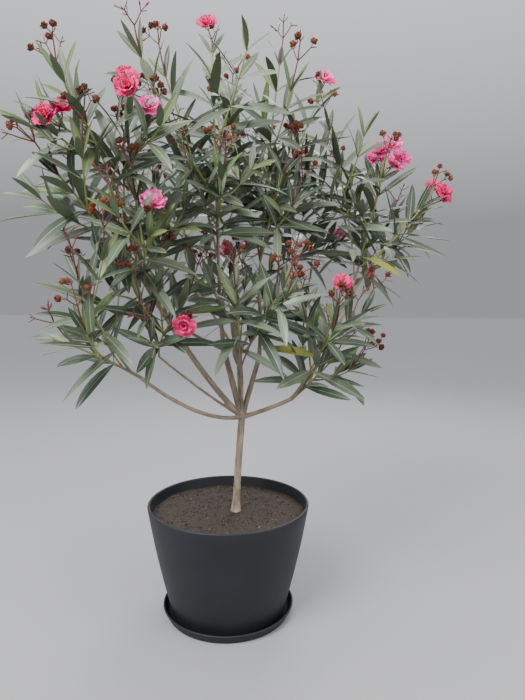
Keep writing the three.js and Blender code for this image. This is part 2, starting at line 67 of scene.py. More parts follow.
# Pot, saucer and soil, in millimetres, and the colour of the bark bits in the soil
CLEAR = 0.3
SAUCER_RADIUS = 236
SAUCER_FOOT_RADIUS = 222
SAUCER_HEIGHT = 34
SAUCER_WALL = 5
SAUCER_CORNER = 4
SAUCER_EDGE = 3.2
POT_FOOT = SAUCER_WALL + CLEAR
POT_HEIGHT = 395
POT_RIM_RADIUS = 290
POT_BASE_RADIUS = 203
POT_WALL = 10
POT_BELLY = 6
POT_CORNER = 9
POT_STEPS = 14
SOIL_TOP = 365
SOIL_DIP = 2.5
SOIL_MOUND = 3.0
SOIL_MOUND_WIDTH = 45
SOIL_SIDES = 150
SOIL_RINGS = 64
BIT_COLOUR = (0.17, 0.11, 0.065)

# How far inside the saucer's foot its groove runs, and how deep
SAUCER_GROOVE = ((22, 0), (20, 1.6), (14, 1.6), (12, 0))

# Height, width and layer of noise of the soil's lumps
SOIL_LUMPS = ((4.0, 45, 0.5), (2.4, 14, 4.5), (1.0, 5, 9.5))

# The trunk, in millimetres, with the points of its path in metres
STEM_SUNK = 20
STEM_X = 25
STEM_FOOT = Vector((STEM_X, 0, SOIL_TOP + CLEAR - STEM_SUNK)) * MM
FORK = Vector((47, 0, 708)) * MM
STEM_BOW = -4 * MM
STEM_RADIUS = 13
FORK_RADIUS = 12.5
FLARE_RADIUS = 19
FLARE_HEIGHT = 60
FORK_TOP = 0.008

# Boughs: name, what each grows on, bearing in degrees about the fork, reach and height of the tip, sag,
# and radius at foot and tip
LIMBS = (
    ("bough_low_left", "trunk", 223, 409, 887, 80, 7, 5.8),
    ("bough_left_thin", "trunk", 214, 314, 939, 16, 5, 3.8),
    ("bough_left", "trunk", 219, 369, 1166, 58, 10.5, 7.5),
    ("bough_centre_left", "trunk", 206, 69, 951, 8, 12, 9.5),
    ("bough_centre_thin", "trunk", 272, 50, 855, 4, 6.2, 4.8),
    ("bough_centre_right", "trunk", 27, 67, 917, -4, 10.5, 8.5),
    ("bough_right", "trunk", 341, 182, 784, 8, 8, 7),
    ("bough_back", "trunk", 98, 150, 905, 14, 9, 8),
    ("bough_left_upper", "bough_left", 225, 468, 1389, 0, 6, 5),
    ("bough_left_inner", "bough_centre_left", 207, 263, 1050, 30, 6, 5),
    ("bough_centre_tall", "bough_centre_left", 234, 124, 1150, 0, 7.5, 6.5),
    ("bough_right_tall", "bough_centre_right", 46, 82, 1160, 0, 7.5, 6.5),
    ("bough_right_outer", "bough_right", 10, 396, 1139, 16, 6, 5),
    ("bough_back_left", "bough_back", 138, 265, 1180, 10, 6, 5),
    ("bough_back_right", "bough_back", 64, 290, 1190, 10, 6, 5),
)

# Masses of foliage: name, bough, and where each main shoot ends (bearing, reach, height), with its flower head
MASSES = (
    ("foliage_low_left", "bough_low_left", ((219, 590, 985, "buds"), (224, 600, 1170, "buds"))),
    ("foliage_far_left", "bough_left", ((222, 640, 1450, "long"),)),
    ("foliage_left", "bough_left_upper",
     ((225, 606, 1645, "long"), (222, 631, 1546, "pair"), (237, 470, 1550, "bloom"))),
    ("foliage_left_front", "bough_left", ((241, 485, 1290, "bloom"),)),
    ("foliage_left_thin", "bough_left_thin", ((235, 350, 1055, "bowed"),)),
    ("foliage_left_inner", "bough_left_inner", ((214, 330, 1425, "seared"),)),
    ("foliage_top", "bough_centre_tall",
     ((236, 165, 1897, "tuft"), (220, 300, 1802, "seared"), (250, 190, 1500, "seared"))),
    ("foliage_top_right", "bough_right_tall",
     ((335, 135, 1900, "buds"), (2, 255, 1804, "bloom"),
      (135, 90, 1745, "seared"), (325, 165, 1540, "seared"))),
    ("foliage_right_high", "bough_right_outer", ((14, 517, 1565, "cluster"), (20, 330, 1745, "seared"))),
    ("foliage_far_right", "bough_right_outer", ((10, 650, 1465, "rose"), (24, 535, 1262, "buds"))),
    ("foliage_right_low", "bough_right", ((350, 310, 912, "buds"),)),
    ("foliage_right_front", "bough_right", ((324, 368, 1090, "tuft"),)),
    ("foliage_front", "bough_centre_thin", ((267, 235, 1155, "seared"), (301, 262, 1158, "seared"))),
    ("foliage_back_left", "bough_back_left", ((136, 330, 1640, "seared"), (155, 465, 1310, "buds"))),
    ("foliage_back", "bough_back", ((100, 430, 1270, "bloom"),)),
    ("foliage_back_right", "bough_back_right", ((72, 330, 1690, "seared"), (46, 480, 1340, "bloom"))),
)
MASS_NAMES = tuple(row[0] for row in MASSES)

# The rule by which shoots grow, in millimetres, degrees and shares of a length
FOLLOW = 0.3
BEND_AT = 0.45
SECOND_FORK = 0.14
MAIN_RADIUS = 5
MAIN_SHARE = 0.8
MAIN_TIP_RADIUS = 2.6
TWIG_RADIUS = 3.2
TWIG_TIP_RADIUS = 2
COLLAR_SHARE = 0.98
GOLDEN_TURN = 137.5
GOLDEN_SHARE = 0.618
FIRST_SIDE = 0.28
SIDE_STRETCH = 0.5
SIDE_SHIFT = 0.03
SIDE_TURN = 25
MAIN_TURN = 40
SIDE_SPREAD = (36, 52)
SIDE_LENGTH = (0.8, 1.05)
SHORTEST_SIDE = 150
SIDE_BEND = 0.5
SIDE_OUT = 0.36
SIDE_RISE = 0.22
BROWN_UP_TO = 0.42
GREEN_FROM = 0.4
BROWN_EVERY = 5
LIMB_ROOM = 2
STALK_SUNK = 6

# Where side shoots find room and which bear flower heads, in metres and shares
HIGH = 1.6
HIGH_SPAN = 0.2
HIGH_STRETCH = 0.4
HIGH_ROOM = 0.7
CROWDED = 0.08
SIDE_ROOM = 0.008
SIDE_FEELERS = (0.25, 0.5, 0.75, 1)
SEARED_UP_TO = 0.44
BUDS_UP_TO = 0.6
LEAF_MARGIN = 0.022

# The skin of limbs and shoots, in metres: steps along them, swellings at feet and leaf scars, rings and pores
LIMB_STEP = 0.008
LIMB_SIDES = 20
FOOT_SWELL = 0.28
FOOT_SWELL_LENGTH = 0.02
COLLAR_LENGTH = 0.022
WHORL_SWELL = 0.16
WHORL_SWELL_LENGTH = 0.004
BARK_VOXEL = 0.0021
LIE_STEP = 0.004
SCAR_SPACING = 0.034
SCAR_WIDTH = 0.0022
PORES_ABOVE = 0.38

# The bark's relief: how fine the noise of ridges, grain and pores is across and along a limb, with its shift,
# and the share of the height that each has, and the leaf scars' rings
RIDGES = (260, 45)
GRAIN = (620, 180)
PORES = (330, 330, 40)
RIDGE_SHARE = 0.7
GRAIN_SHARE = 0.35
RING_SHARE = 0.75
PORE_SHARE = 2.6

# Leaf blades: share of the length and half width at each station, then lean and share fallen in each whorl
STATIONS = (0.0, 0.07, 0.17, 0.30, 0.45, 0.60, 0.74, 0.86, 0.94, 1.0)
HALF_WIDTHS = (0.12, 0.32, 0.62, 0.89, 1.0, 0.96, 0.80, 0.52, 0.27, 0.0)
FEELERS = (0.2, 0.4, 0.6, 0.8, 1.0)
YOUNG_SHARES = (0.5, 0.78, 0.94)
LEANS = (26, 43, 57, 68, 76, 83, 88, 92, 96, 99)
FALLEN = (0, 0, 0.04, 0.08, 0.16, 0.25, 0.35, 0.4, 0.45, 0.5)
BARE_SHARE = 0.25
MAIN_BARE_SHARE = 0.2
MAIN_EXTRA_WHORLS = 2
LEAVES_IN_WHORL = 3
TOP_WHORL = 8
WHORL_TURN = 60
SEED_TURN = 25
LEAF_TURN = 14
LEAN_SPREAD = 9
DROOP = 0.22
DROOP_SPREAD = (0.3, 1.0)
LEVEL_FACE = 0.55
SKYWARD = Vector((-0.06, -0.86, 0.52))
SKYWARD_SPREAD = (0.5, 1.7)
YOUNG_WIDTH = 0.15
LIFTED = 0.16
LIFT = 0.35
LEAF_SPREAD = (0.86, 1.1)
WIDTH_SPREAD = (0.88, 1.12)
BEND_SPREAD = (0.15, 0.75)
TWIST_SPREAD = (-0.6, 0.6)
FOLD_SPREAD = (0.08, 0.34)
SICKLE_SPREAD = (-0.05, 0.05)
ROOT_OUT = 0.3
LEAF_ROOM = 0.3
LEAF_THICKNESS = 0.8
RIB_HALF_WIDTH = 1.05
RIB_HEIGHT = 0.5
SHORTENED = 0.75

# Tints, and the shares by which they are dealt out
TINTS = ("leaf_deep", "leaf_green", "leaf_grey", "leaf_fresh", "leaf_yellow")
DEEP_UP_TO = 0.34
GREEN_UP_TO = 0.74
STRAYS = 0.25
FRESH = 0.3
SECOND_YOUNG = 0.5
YELLOW = 0.07
YELLOW_BELOW = 1.3

# Seeds set aside for the flowers of a shoot and of a ray
SEEDS_A_SHOOT = 1000
SEEDS_A_RAY = 37

# The studio and the photograph's camera, in metres and degrees
FLOOR_SIZE = 60.0
FLOOR_COLOUR = (0.34, 0.34, 0.35)
AIR_COLOUR = (0.82, 0.83, 0.86, 1.0)
AIR_STRENGTH = {"From Min": 0.15, "From Max": 1.0, "To Min": 0.41, "To Max": 1.95}
LAMPS = (
    ("key_light", (-2.4, -3.2, 4.2), 2.6, 400.0),
    ("fill_light", (3.4, -2.2, 2.6), 3.0, 90.0),
    ("back_light", (1.0, 3.4, 3.8), 2.4, 120.0),
)
LIT_POINT = Vector((0.05, 0.0, 1.1))
CAMERA_SPOT = Vector((0.119, -1.865, 1.10))
CAMERA_PITCH = 4.63
CAMERA_ROLL = 0.37
CAMERA_LENS = 27.13


def length_of(name, description, default, low, high):
    return bpy.props.FloatProperty(
        name=name, description=description, default=default, min=low, max=high, unit="LENGTH")


def number_of(name, description, default, low, high):
    return bpy.props.IntProperty(name=name, description=description, default=default, min=low, max=high)


def colour_of(name, description, *default):
    return bpy.props.FloatVectorProperty(
        name=name, description=description, subtype="COLOR", size=3, default=default)


class PlantSizes(bpy.types.PropertyGroup):
    """Sizes of the growing parts"""
    leaf_length: length_of("Leaf length", "Length of a grown leaf", 0.200, 0.08, 0.3)
    leaf_width: length_of("Leaf width", "Width of a grown leaf", 0.0335, 0.01, 0.06)
    whorl_spacing: length_of("Whorl spacing", "Distance between whorls of leaves", 0.056, 0.02, 0.1)
    side_shoots: number_of("Side shoots", "The most side shoots on a main shoot", 5, 2, 8)
    whorls: number_of("Whorls", "The most whorls of leaves on a side shoot", 7, 2, 8)
    bloom_radius: length_of("Flower radius", "Length of an outer petal", 0.041, 0.01, 0.05)
    bark_relief: length_of("Bark relief", "Height of the bark's ridges", 0.0009, 0.0, 0.003)
    pot_sides: number_of("Pot sides", "Steps round the pot and the saucer", 144, 32, 256)


class PlantColours(bpy.types.PropertyGroup):
    """Base colours of the finishes"""
    leaf_deep: colour_of("Deep leaves", "Leaves of the darkest sprays", 0.049, 0.071, 0.046)
    leaf_green: colour_of("Green leaves", "Leaves of the green sprays", 0.096, 0.127, 0.079)
    leaf_grey: colour_of("Grey leaves", "Leaves of the palest sprays", 0.166, 0.205, 0.144)
    leaf_fresh: colour_of("Fresh leaves", "Young leaves at the tips", 0.131, 0.183, 0.064)
    leaf_yellow: colour_of("Yellow leaves", "The few leaves that turn", 0.290, 0.300, 0.048)
    leaf_under: colour_of("Underside", "Underside of the leaves", 0.108, 0.140, 0.081)
    leaf_rib: colour_of("Midrib", "Midrib of the leaves", 0.310, 0.350, 0.200)
    shoot_green: colour_of("Green shoots", "This year's shoots", 0.260, 0.280, 0.090)
    shoot_brown: colour_of("Brown shoots", "Last year's shoots", 0.205, 0.165, 0.105)
    stalk: colour_of("Flower stalks", "Stalks of the flower heads", 0.140, 0.045, 0.038)
    pink: colour_of("Pink flowers", "Open flowers", 1.000, 0.175, 0.490)
    rose: colour_of("Rose flowers", "Older and deeper flowers", 0.770, 0.050, 0.205)
    seared: colour_of("Seared flowers", "Flowers that have dried", 0.150, 0.045, 0.030)
    rusty: colour_of("Rusty flowers", "Flowers that dried longest ago", 0.205, 0.072, 0.036)
    bud: colour_of("Buds", "Closed buds", 0.220, 0.025, 0.045)
    bark: colour_of("Bark", "Grown bark", 0.340, 0.275, 0.200)
    pot: colour_of("Pot", "Plastic of the pot and the saucer", 0.012, 0.013, 0.016)
    soil: colour_of("Soil", "Potting soil", 0.029, 0.020, 0.014)


def sizes():
    return bpy.context.scene.oleander_sizes


def colours():
    return bpy.context.scene.oleander_colours


# Growth


def chance(seed):
    """A seeded row of chances, each between the two values it is asked for."""
    factor, modulus = 16807, 2**31 - 1
    state = [seed * 7919 + 13]

    def draw(low, high):
        state[0] = state[0] * factor % modulus
        return low + (high - low) * state[0] / modulus

    draw(0, 1)
    draw(0, 1)
    return draw


class Path:
    """A line with one bend, measured along its own length."""

    STEPS = 200

    def __init__(self, start, middle, end):
        self.ends = (start, middle, end)
        points = [self.at(i / self.STEPS) for i in range(self.STEPS + 1)]
        self.lengths = np.cumsum([0.0] + [(b - a).length for a, b in zip(points, points[1:])])
        self.length = float(self.lengths[-1])

    def at(self, t):
        start, middle, end = self.ends
        return start * (1 - t) ** 2 + middle * (2 * t * (1 - t)) + end * t * t

    def step(self, share):
        return float(np.interp(share * self.length, self.lengths, np.linspace(0, 1, self.STEPS + 1)))

    def point(self, share):
        return self.at(self.step(share))

    def tangent(self, share):
        t = self.step(share)
        start, middle, end = self.ends
        return ((middle - start) * (1 - t) + (end - middle) * t).normalized()


class Limb:
    """A path with its radius in metres, and the seed of what grows on it."""

    def __init__(self, path, foot, tip, seed=0, head=None, radius=None):
        self.path = path
        self.length = path.length
        self.foot = foot
        self.tip = tip
        self.seed = seed
        self.head = head
        self.own_radius = radius
        self.collar = foot

    def radius(self, share):
        if self.own_radius:
            return self.own_radius(share)
        return self.foot + (self.tip - self.foot) * share


def place(bearing, reach, height):
    """A point by its bearing and reach from the fork's axis and its height above the ground."""
    turn = math.radians(bearing)
    return Vector((FORK.x + reach * MM * math.cos(turn), FORK.y + reach * MM * math.sin(turn), height * MM))


def across(path, tangent):
    """Two directions square to a limb at one point of its path, held steady along it."""
    chord = path.ends[2] - path.ends[0]
    level = chord.cross(UP)
    if level.length < 0.05 * chord.length:
        level = Vector((1.0, 0.0, 0.0))
    side = (level - tangent * level.dot(tangent)).normalized()
    return side, side.cross(tangent)


def turned_way(way, aside, turn):
    """A direction turned from one way towards another that is square to it."""
    return way * math.cos(turn) + aside * math.sin(turn)


def bent_path(start, end, onward, follow, sag):
    """A path that sets off partly along the line of the limb it leaves and sags a little."""
    way = end - start
    length = way.length
    set_off = (way.normalized() * (1 - follow) + onward * follow).normalized()
    middle = start + set_off * (BEND_AT * length) - UP * (sag * MM)
    return Path(start, middle, end)


def grow_trunk():
    middle = STEM_FOOT.lerp(FORK, 0.5)
    middle.x += STEM_BOW
    path = Path(STEM_FOOT.copy(), middle, FORK.copy())

    def radius(share):
        flare = max(0.0, 1 - (share * path.length / MM - STEM_SUNK) / FLARE_HEIGHT)
        taper = (FORK_RADIUS - STEM_RADIUS) * share
        return (STEM_RADIUS + taper + (FLARE_RADIUS - STEM_RADIUS) * flare**2) * MM

    return Limb(path, STEM_RADIUS * MM, FORK_RADIUS * MM, radius=radius)


def grow_limbs():
    grown = {"trunk": grow_trunk()}
    for name, parent, bearing, reach, height, sag, foot, tip in LIMBS:
        below = grown[parent].path
        follow = 0 if parent == "trunk" else FOLLOW
        path = bent_path(below.point(1), place(bearing, reach, height), below.tangent(1), follow, sag)
        grown[name] = Limb(path, foot * MM, tip * MM)
    return grown


def grow_main(parent, share, shoot, seed):
    *tip, head = shoot
    path = bent_path(parent.path.point(share), place(*tip), parent.path.tangent(share), FOLLOW, 0)
    foot = min(MAIN_SHARE * parent.radius(share), MAIN_RADIUS * MM)
    main = Limb(path, foot, MAIN_TIP_RADIUS * MM, seed, head)
    main.collar = parent.radius(share) * COLLAR_SHARE
    return main


def grow_side_shoots(main, count):
    """Side shoots leave a main shoot at a golden turn round it, lean out and bend up."""
    shoots = []
    for i in range(count):
        draw = chance(main.seed * 100 + i)
        share = FIRST_SIDE + SIDE_STRETCH * ((i * GOLDEN_SHARE) % 1) + draw(-SIDE_SHIFT, SIDE_SHIFT)
        turn = math.radians(i * GOLDEN_TURN + main.seed * MAIN_TURN + draw(-SIDE_TURN, SIDE_TURN))
        spread = math.radians(draw(*SIDE_SPREAD))
        tangent = main.path.tangent(share)
        way = turned_way(tangent, turned_way(*across(main.path, tangent), turn), spread)
        length = max(SHORTEST_SIDE * MM, main.length * (1 - share) * draw(*SIDE_LENGTH))
        start = main.path.point(share)
        middle = start + way * (SIDE_BEND * length)
        end = middle + way * (SIDE_OUT * length) + UP * (SIDE_RISE * length)
        path = Path(start, middle, end)
        shoots.append(Limb(path, TWIG_RADIUS * MM, TWIG_TIP_RADIUS * MM, main.seed * 10 + i + 1))
    return shoots


def height_of(shoot):
    """0 for a shoot that ends low in the crown, 1 for one that ends near its top."""
    return min(1.0, max(0.0, (shoot.path.point(1).z - HIGH) / HIGH_SPAN))


def spacing_of(shoot):
    """The whorls stand further apart on the shoots that end high in the crown."""
    return sizes().whorl_spacing * (1 + HIGH_STRETCH * height_of(shoot))


class Pieces:
    """Straight pieces of limbs, for measuring how far points are from them."""

    def __init__(self, limbs, step=0.02):
        rows = []
        for limb in limbs:
            count = max(3, math.ceil(limb.length / step))
            for i in range(count):
                ends = (*limb.path.point(i / count), *limb.path.point((i + 1) / count))
                rows.append((*ends, limb.radius(i / count)))
        table = np.array(rows)
        self.start = table[:, 0:3]
        self.way = table[:, 3:6] - self.start
        self.square = (self.way**2).sum(axis=1)
        self.radius = table[:, 6]

    def distance(self, points):
        points = np.asarray(points)[:, None, :]
        share = np.clip(((points - self.start) * self.way).sum(axis=2) / self.square, 0, 1)
        gap = points - self.start - share[..., None] * self.way
        return (np.sqrt((gap**2).sum(axis=2)) - self.radius).min(axis=1)


class Plant:
    """The limbs, the shoots and the kinds of their flower heads."""

    def __init__(self, side_shoots):
        self.limbs = grow_limbs()
        self.wood = Pieces(self.limbs.values())
        self.mains = []
        self.sides = []
        seed = 0
        for _, parent, shoots in MASSES:
            below, share = self.limbs[parent], 1
            for shoot in shoots:
                seed += 10
                main = grow_main(below, share, shoot, seed)
                self.mains.append(main)
                for side in grow_side_shoots(main, side_shoots):
                    if self.free(side):
                        self.sides.append(side)
                if share == 1:
                    below, share = main, SECOND_FORK
        for side in self.sides:
            side.head = self.side_head(side)

    def free(self, shoot):
        """Whether a side shoot clears the limbs, stays in the crown and has room among the others."""
        points = [shoot.path.point(share) for share in SIDE_FEELERS]
        room = CROWDED * (1 + HIGH_ROOM * height_of(shoot))
        if any((points[-1] - other.path.point(1)).length < room for other in (*self.mains, *self.sides)):
            return False
        return bool((self.wood.distance(points) > SIDE_ROOM).all()) and inside(points[-1])

    @staticmethod
    def side_head(side):
        """A few side shoots bloom, and more than half of the others end in dry flowers or in buds."""
        if side.seed in SIDE_BLOOMS:
            return "tuft"
        lot = chance(side.seed + 5)(0, 1)
        if lot < SEARED_UP_TO:
            return "seared"
        return "buds" if lot < BUDS_UP_TO else None


def inside(point, margin=LEAF_MARGIN):
    low, high = CAD_BOX
    return all(low[k] - margin < point[k] < high[k] + margin for k in range(3))


PLANTS = {}


def plant():
    """The plant with as many side shoots as are set, grown once and shared by the operators."""
    count = sizes().side_shoots
    if count not in PLANTS:
        PLANTS[count] = Plant(count)
    return PLANTS[count]


# Meshes


def mesh_of(name, points, faces):
    mesh = bpy.data.meshes.new(name)
    mesh.from_pydata([tuple(p) for p in points], [], faces)
    mesh.update()
    return mesh


def linked(name, data):
    """A new object in the scene."""
    made = bpy.data.objects.new(name, data)
    bpy.context.scene.collection.objects.link(made)
    return made


def piece_of(name, mesh, materials, material_index=None):
    mesh.name = name
    mesh.materials.clear()
    for material in materials:
        mesh.materials.append(material)
    if material_index is not None:
        mesh.polygons.foreach_set("material_index", np.asarray(material_index, dtype=np.int32))
    return linked(name, mesh)


def smooth(mesh, angle=35):
    mesh.shade_smooth()
    mesh.set_sharp_from_angle(angle=math.radians(angle))


def hand_over(piece, nodes=()):
    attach(piece, BODY)
    if nodes:
        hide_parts(*nodes)


def turned(profile, sides):
    """A closed body turned round the Z axis; the profile starts and ends on the axis."""
    rings = profile[1:-1]
    angles = np.linspace(0, 2 * math.pi, sides, endpoint=False)
    points = [(0.0, 0.0, profile[0][1])]
    for radius, height in rings:
        points += [(radius * math.cos(a), radius * math.sin(a), height) for a in angles]
    points.append((0.0, 0.0, profile[-1][1]))
    last = len(points) - 1
    faces = []
    for i in range(sides):
        j = (i + 1) % sides
        faces.append((0, 1 + j, 1 + i))
        for ring in range(len(rings) - 1):
            low = 1 + ring * sides
            faces.append((low + i, low + j, low + sides + j, low + sides + i))
        top = 1 + (len(rings) - 1) * sides
        faces.append((top + i, top + j, last))
    return points, faces


def arc(centre, radius, first, last, steps):
    """Points of a rounded edge in a profile, angles in degrees."""
    return [(centre[0] + radius * math.cos(math.radians(a)), centre[1] + radius * math.sin(math.radians(a)))
            for a in np.linspace(first, last, steps)]


# Node trees


def add_node(tree, kind, inputs=None, **settings):
    """A new node with its settings and the values of its inputs."""
    node = tree.nodes.new(kind)
    for name, value in settings.items():
        setattr(node, name, value)
    for name, value in (inputs or {}).items():
        node.inputs[name].default_value = value
    return node


def wire(tree, *links):
    """Each link is (node, output, node, input)."""
    for source, output, target, entry in links:
        tree.links.new(source.outputs[output], target.inputs[entry])


def new_group(name, kind, sockets, outputs):
    """A node group with its sockets, and its input and output nodes."""
    tree = bpy.data.node_groups.new(name, kind)
    for socket, sort, default in sockets:
        made = tree.interface.new_socket(name=socket, in_out="INPUT", socket_type=sort)
        if default is not None:
            made.default_value = default
    for socket, sort in outputs:
        tree.interface.new_socket(name=socket, in_out="OUTPUT", socket_type=sort)
    return tree, tree.nodes.new("NodeGroupInput"), tree.nodes.new("NodeGroupOutput")


def new_tree(name, *sockets):
    geometry = "NodeSocketGeometry"
    sockets = (("Geometry", geometry, None), *sockets, ("Material", "NodeSocketMaterial", None))
    return new_group(name, "GeometryNodeTree", sockets, (("Geometry", geometry),))


def end_tree(tree, inputs, output, last, socket):
    """Every tree ends in Realize Instances and Set Material."""
    realize = add_node(tree, "GeometryNodeRealizeInstances")
    finish = add_node(tree, "GeometryNodeSetMaterial")
    wire(tree, (last, socket, realize, "Geometry"), (realize, "Geometry", finish, "Geometry"),
         (inputs, "Material", finish, "Material"), (finish, "Geometry", output, "Geometry"))
    return tree


def tube_tree():
    """Round tubes along the splines of a curve object, each as thick as its points say."""
    tree, inputs, output = new_tree("tubes_along_shoots", ("Shoots", "NodeSocketObject", None),
                                    ("Sides", "NodeSocketInt", 7))
    info = add_node(tree, "GeometryNodeObjectInfo")
    circle = add_node(tree, "GeometryNodeCurvePrimitiveCircle", {"Radius": 1.0})
    radius = add_node(tree, "GeometryNodeInputRadius")
    sweep = add_node(tree, "GeometryNodeCurveToMesh", {"Fill Caps": True})
    wire(tree, (inputs, "Shoots", info, "Object"), (inputs, "Sides", circle, "Resolution"),
         (info, "Geometry", sweep, "Curve"), (circle, "Curve", sweep, "Profile Curve"),
         (radius, "Radius", sweep, "Scale"))
    return end_tree(tree, inputs, output, sweep, "Mesh")


def scatter_tree():
    """One shape on every point, turned and stretched as the points' attributes say."""
    tree, inputs, output = new_tree("shapes_on_points", ("Shape", "NodeSocketObject", None))
    info = add_node(tree, "GeometryNodeObjectInfo")
    turn, stretch = (add_node(tree, "GeometryNodeInputNamedAttribute", {"Name": name}, data_type="FLOAT_VECTOR")
                     for name in ("turn", "stretch"))
    euler = add_node(tree, "FunctionNodeEulerToRotation")
    lay = add_node(tree, "GeometryNodeInstanceOnPoints")
    wire(tree, (inputs, "Shape", info, "Object"), (inputs, "Geometry", lay, "Points"),
         (info, "Geometry", lay, "Instance"), (turn, "Attribute", euler, "Euler"),
         (euler, "Rotation", lay, "Rotation"), (stretch, "Attribute", lay, "Scale"))
    return end_tree(tree, inputs, output, lay, "Instances")


def tree_named(name, build):
    return bpy.data.node_groups.get(name) or build()


def settled(holder):
    """The plain mesh that an object's modifiers make; the object goes, and its modifiers with it."""
    depsgraph = bpy.context.evaluated_depsgraph_get()
    mesh = bpy.data.meshes.new_from_object(holder.evaluated_get(depsgraph), depsgraph=depsgraph)
    bpy.data.objects.remove(holder)
    return mesh


def grown_mesh(name, carrier, tree, values):
    """Runs a node tree on a carrier mesh and returns the plain mesh that it makes."""
    holder = linked(name + "_carrier", carrier)
    modifier = holder.modifiers.new("Grow", "NODES")
    modifier.node_group = tree
    sockets = {item.name: item.identifier for item in tree.interface.items_tree
               if item.item_type == "SOCKET" and item.in_out == "INPUT"}
    for socket, value in values.items():
        modifier[sockets[socket]] = value
    return settled(holder)


def tubes(name, splines, sides, material):
    """A mesh of tubes; each spline is a list of (point, radius)."""
    curve = bpy.data.curves.new(name + "_lines", "CURVE")
    curve.dimensions = "3D"
    for points in splines:
        spline = curve.splines.new("POLY")
        spline.points.add(len(points) - 1)
        spline.points.foreach_set("co", [value for p, _ in points for value in (*p, 1.0)])
        spline.points.foreach_set("radius", [r for _, r in points])
    lines = linked(name + "_lines", curve)
    mesh = grown_mesh(name, bpy.data.meshes.new(name), tree_named("tubes_along_shoots", tube_tree),
                      {"Shoots": lines, "Sides": sides, "Material": material})
    bpy.data.objects.remove(lines)
    return mesh


def add_vectors(mesh, name, vectors):
    """Notes a vector on each point of a mesh."""
    made = mesh.attributes.new(name, "FLOAT_VECTOR", "POINT")
    made.data.foreach_set("vector", np.array([tuple(v) for v in vectors], dtype=np.float32).ravel())


def scattered(name, shape, places, material):
    """Copies of a shape; each place is (point, Euler angles, stretch)."""
    points, turns, stretches = zip(*places)
    carrier = mesh_of(name + "_points", points, [])
    add_vectors(carrier, "turn", turns)
    add_vectors(carrier, "stretch", stretches)
    template = linked(name + "_shape", shape)
    tree = tree_named("shapes_on_points", scatter_tree)
    mesh = grown_mesh(name, carrier, tree, {"Shape": template, "Material": material})
    bpy.data.objects.remove(template)
    return mesh


# Finishes


def mottle_group():
    """Blotches: a mask from 0 to 1 and a height for bumps."""
    group, inputs, output = new_group("mottle", "ShaderNodeTree", (
        ("Vector", "NodeSocketVector", None), ("Scale", "NodeSocketFloat", 20.0),
        ("Detail", "NodeSocketFloat", 6.0), ("Contrast", "NodeSocketFloat", 2.0)),
        (("Mask", "NodeSocketFloat"), ("Height", "NodeSocketFloat")))
    blotch = add_node(group, "ShaderNodeTexNoise")
    centre = add_node(group, "ShaderNodeMath", {1: 0.5}, operation="SUBTRACT")
    gain = add_node(group, "ShaderNodeMath", operation="MULTIPLY")
    back = add_node(group, "ShaderNodeMath", {1: 0.5}, operation="ADD", use_clamp=True)
    wire(group, (inputs, "Vector", blotch, "Vector"), (inputs, "Scale", blotch, "Scale"),
         (inputs, "Detail", blotch, "Detail"), (blotch, "Fac", centre, 0), (centre, 0, gain, 0),
         (inputs, "Contrast", gain, 1), (gain, 0, back, 0), (back, 0, output, "Mask"),
         (blotch, "Fac", output, "Height"))
    return group


def shader_of(material):
    return material.node_tree.nodes["Principled BSDF"]


def finish_of(name, colour, roughness, specular=0.5):
    """A plain finish with one base colour.

    A finish of this name that the frame or an earlier piece has brought is taken up as it is.
    """
    material = bpy.data.materials.get(name)
    if material:
        return material
    material = bpy.data.materials.new(name)
    material.use_nodes = True
    shader = shader_of(material)
    shader.inputs["Base Color"].default_value = (*colour, 1.0)
    shader.inputs["Roughness"].default_value = roughness
    shader.inputs["Specular IOR Level"].default_value = specular
    return material


def mottled(name, shades, scale, roughness, bump, lie=None, contrast=2.0, specular=0.5):
    """A finish that wanders between two colours and two roughnesses, with a bump of (strength, metres)."""
    dark, light = shades
    material = finish_of(name, dark, 0.5, specular)
    tree, shader = material.node_tree, shader_of(material)
    if shader.inputs["Base Color"].is_linked:
        return material
    group = add_node(tree, "ShaderNodeGroup", {"Scale": scale, "Contrast": contrast},
                     node_tree=tree_named("mottle", mottle_group))
    if lie:
        wire(tree, (lie(tree), "Vector", group, "Vector"))
    else:
        wire(tree, (add_node(tree, "ShaderNodeTexCoord"), "Object", group, "Vector"))
    mix = add_node(tree, "ShaderNodeMix", {"A": (*dark, 1.0), "B": (*light, 1.0)}, data_type="RGBA")
    rough = add_node(tree, "ShaderNodeMapRange", {"To Min": roughness[0], "To Max": roughness[1]})
    relief = add_node(tree, "ShaderNodeBump", {"Strength": bump[0], "Distance": bump[1]})
    wire(tree, (group, "Mask", mix, "Factor"), (mix, "Result", shader, "Base Color"),
         (group, "Mask", rough, "Value"), (rough, "Result", shader, "Roughness"),
         (group, "Height", relief, "Height"), (relief, "Normal", shader, "Normal"))
    return material


def shades_of(colour, *factors):
    """Darker and lighter shades of a colour."""
    return [tuple(min(1.0, c * factor) for c in colour) for factor in factors]


# Bark


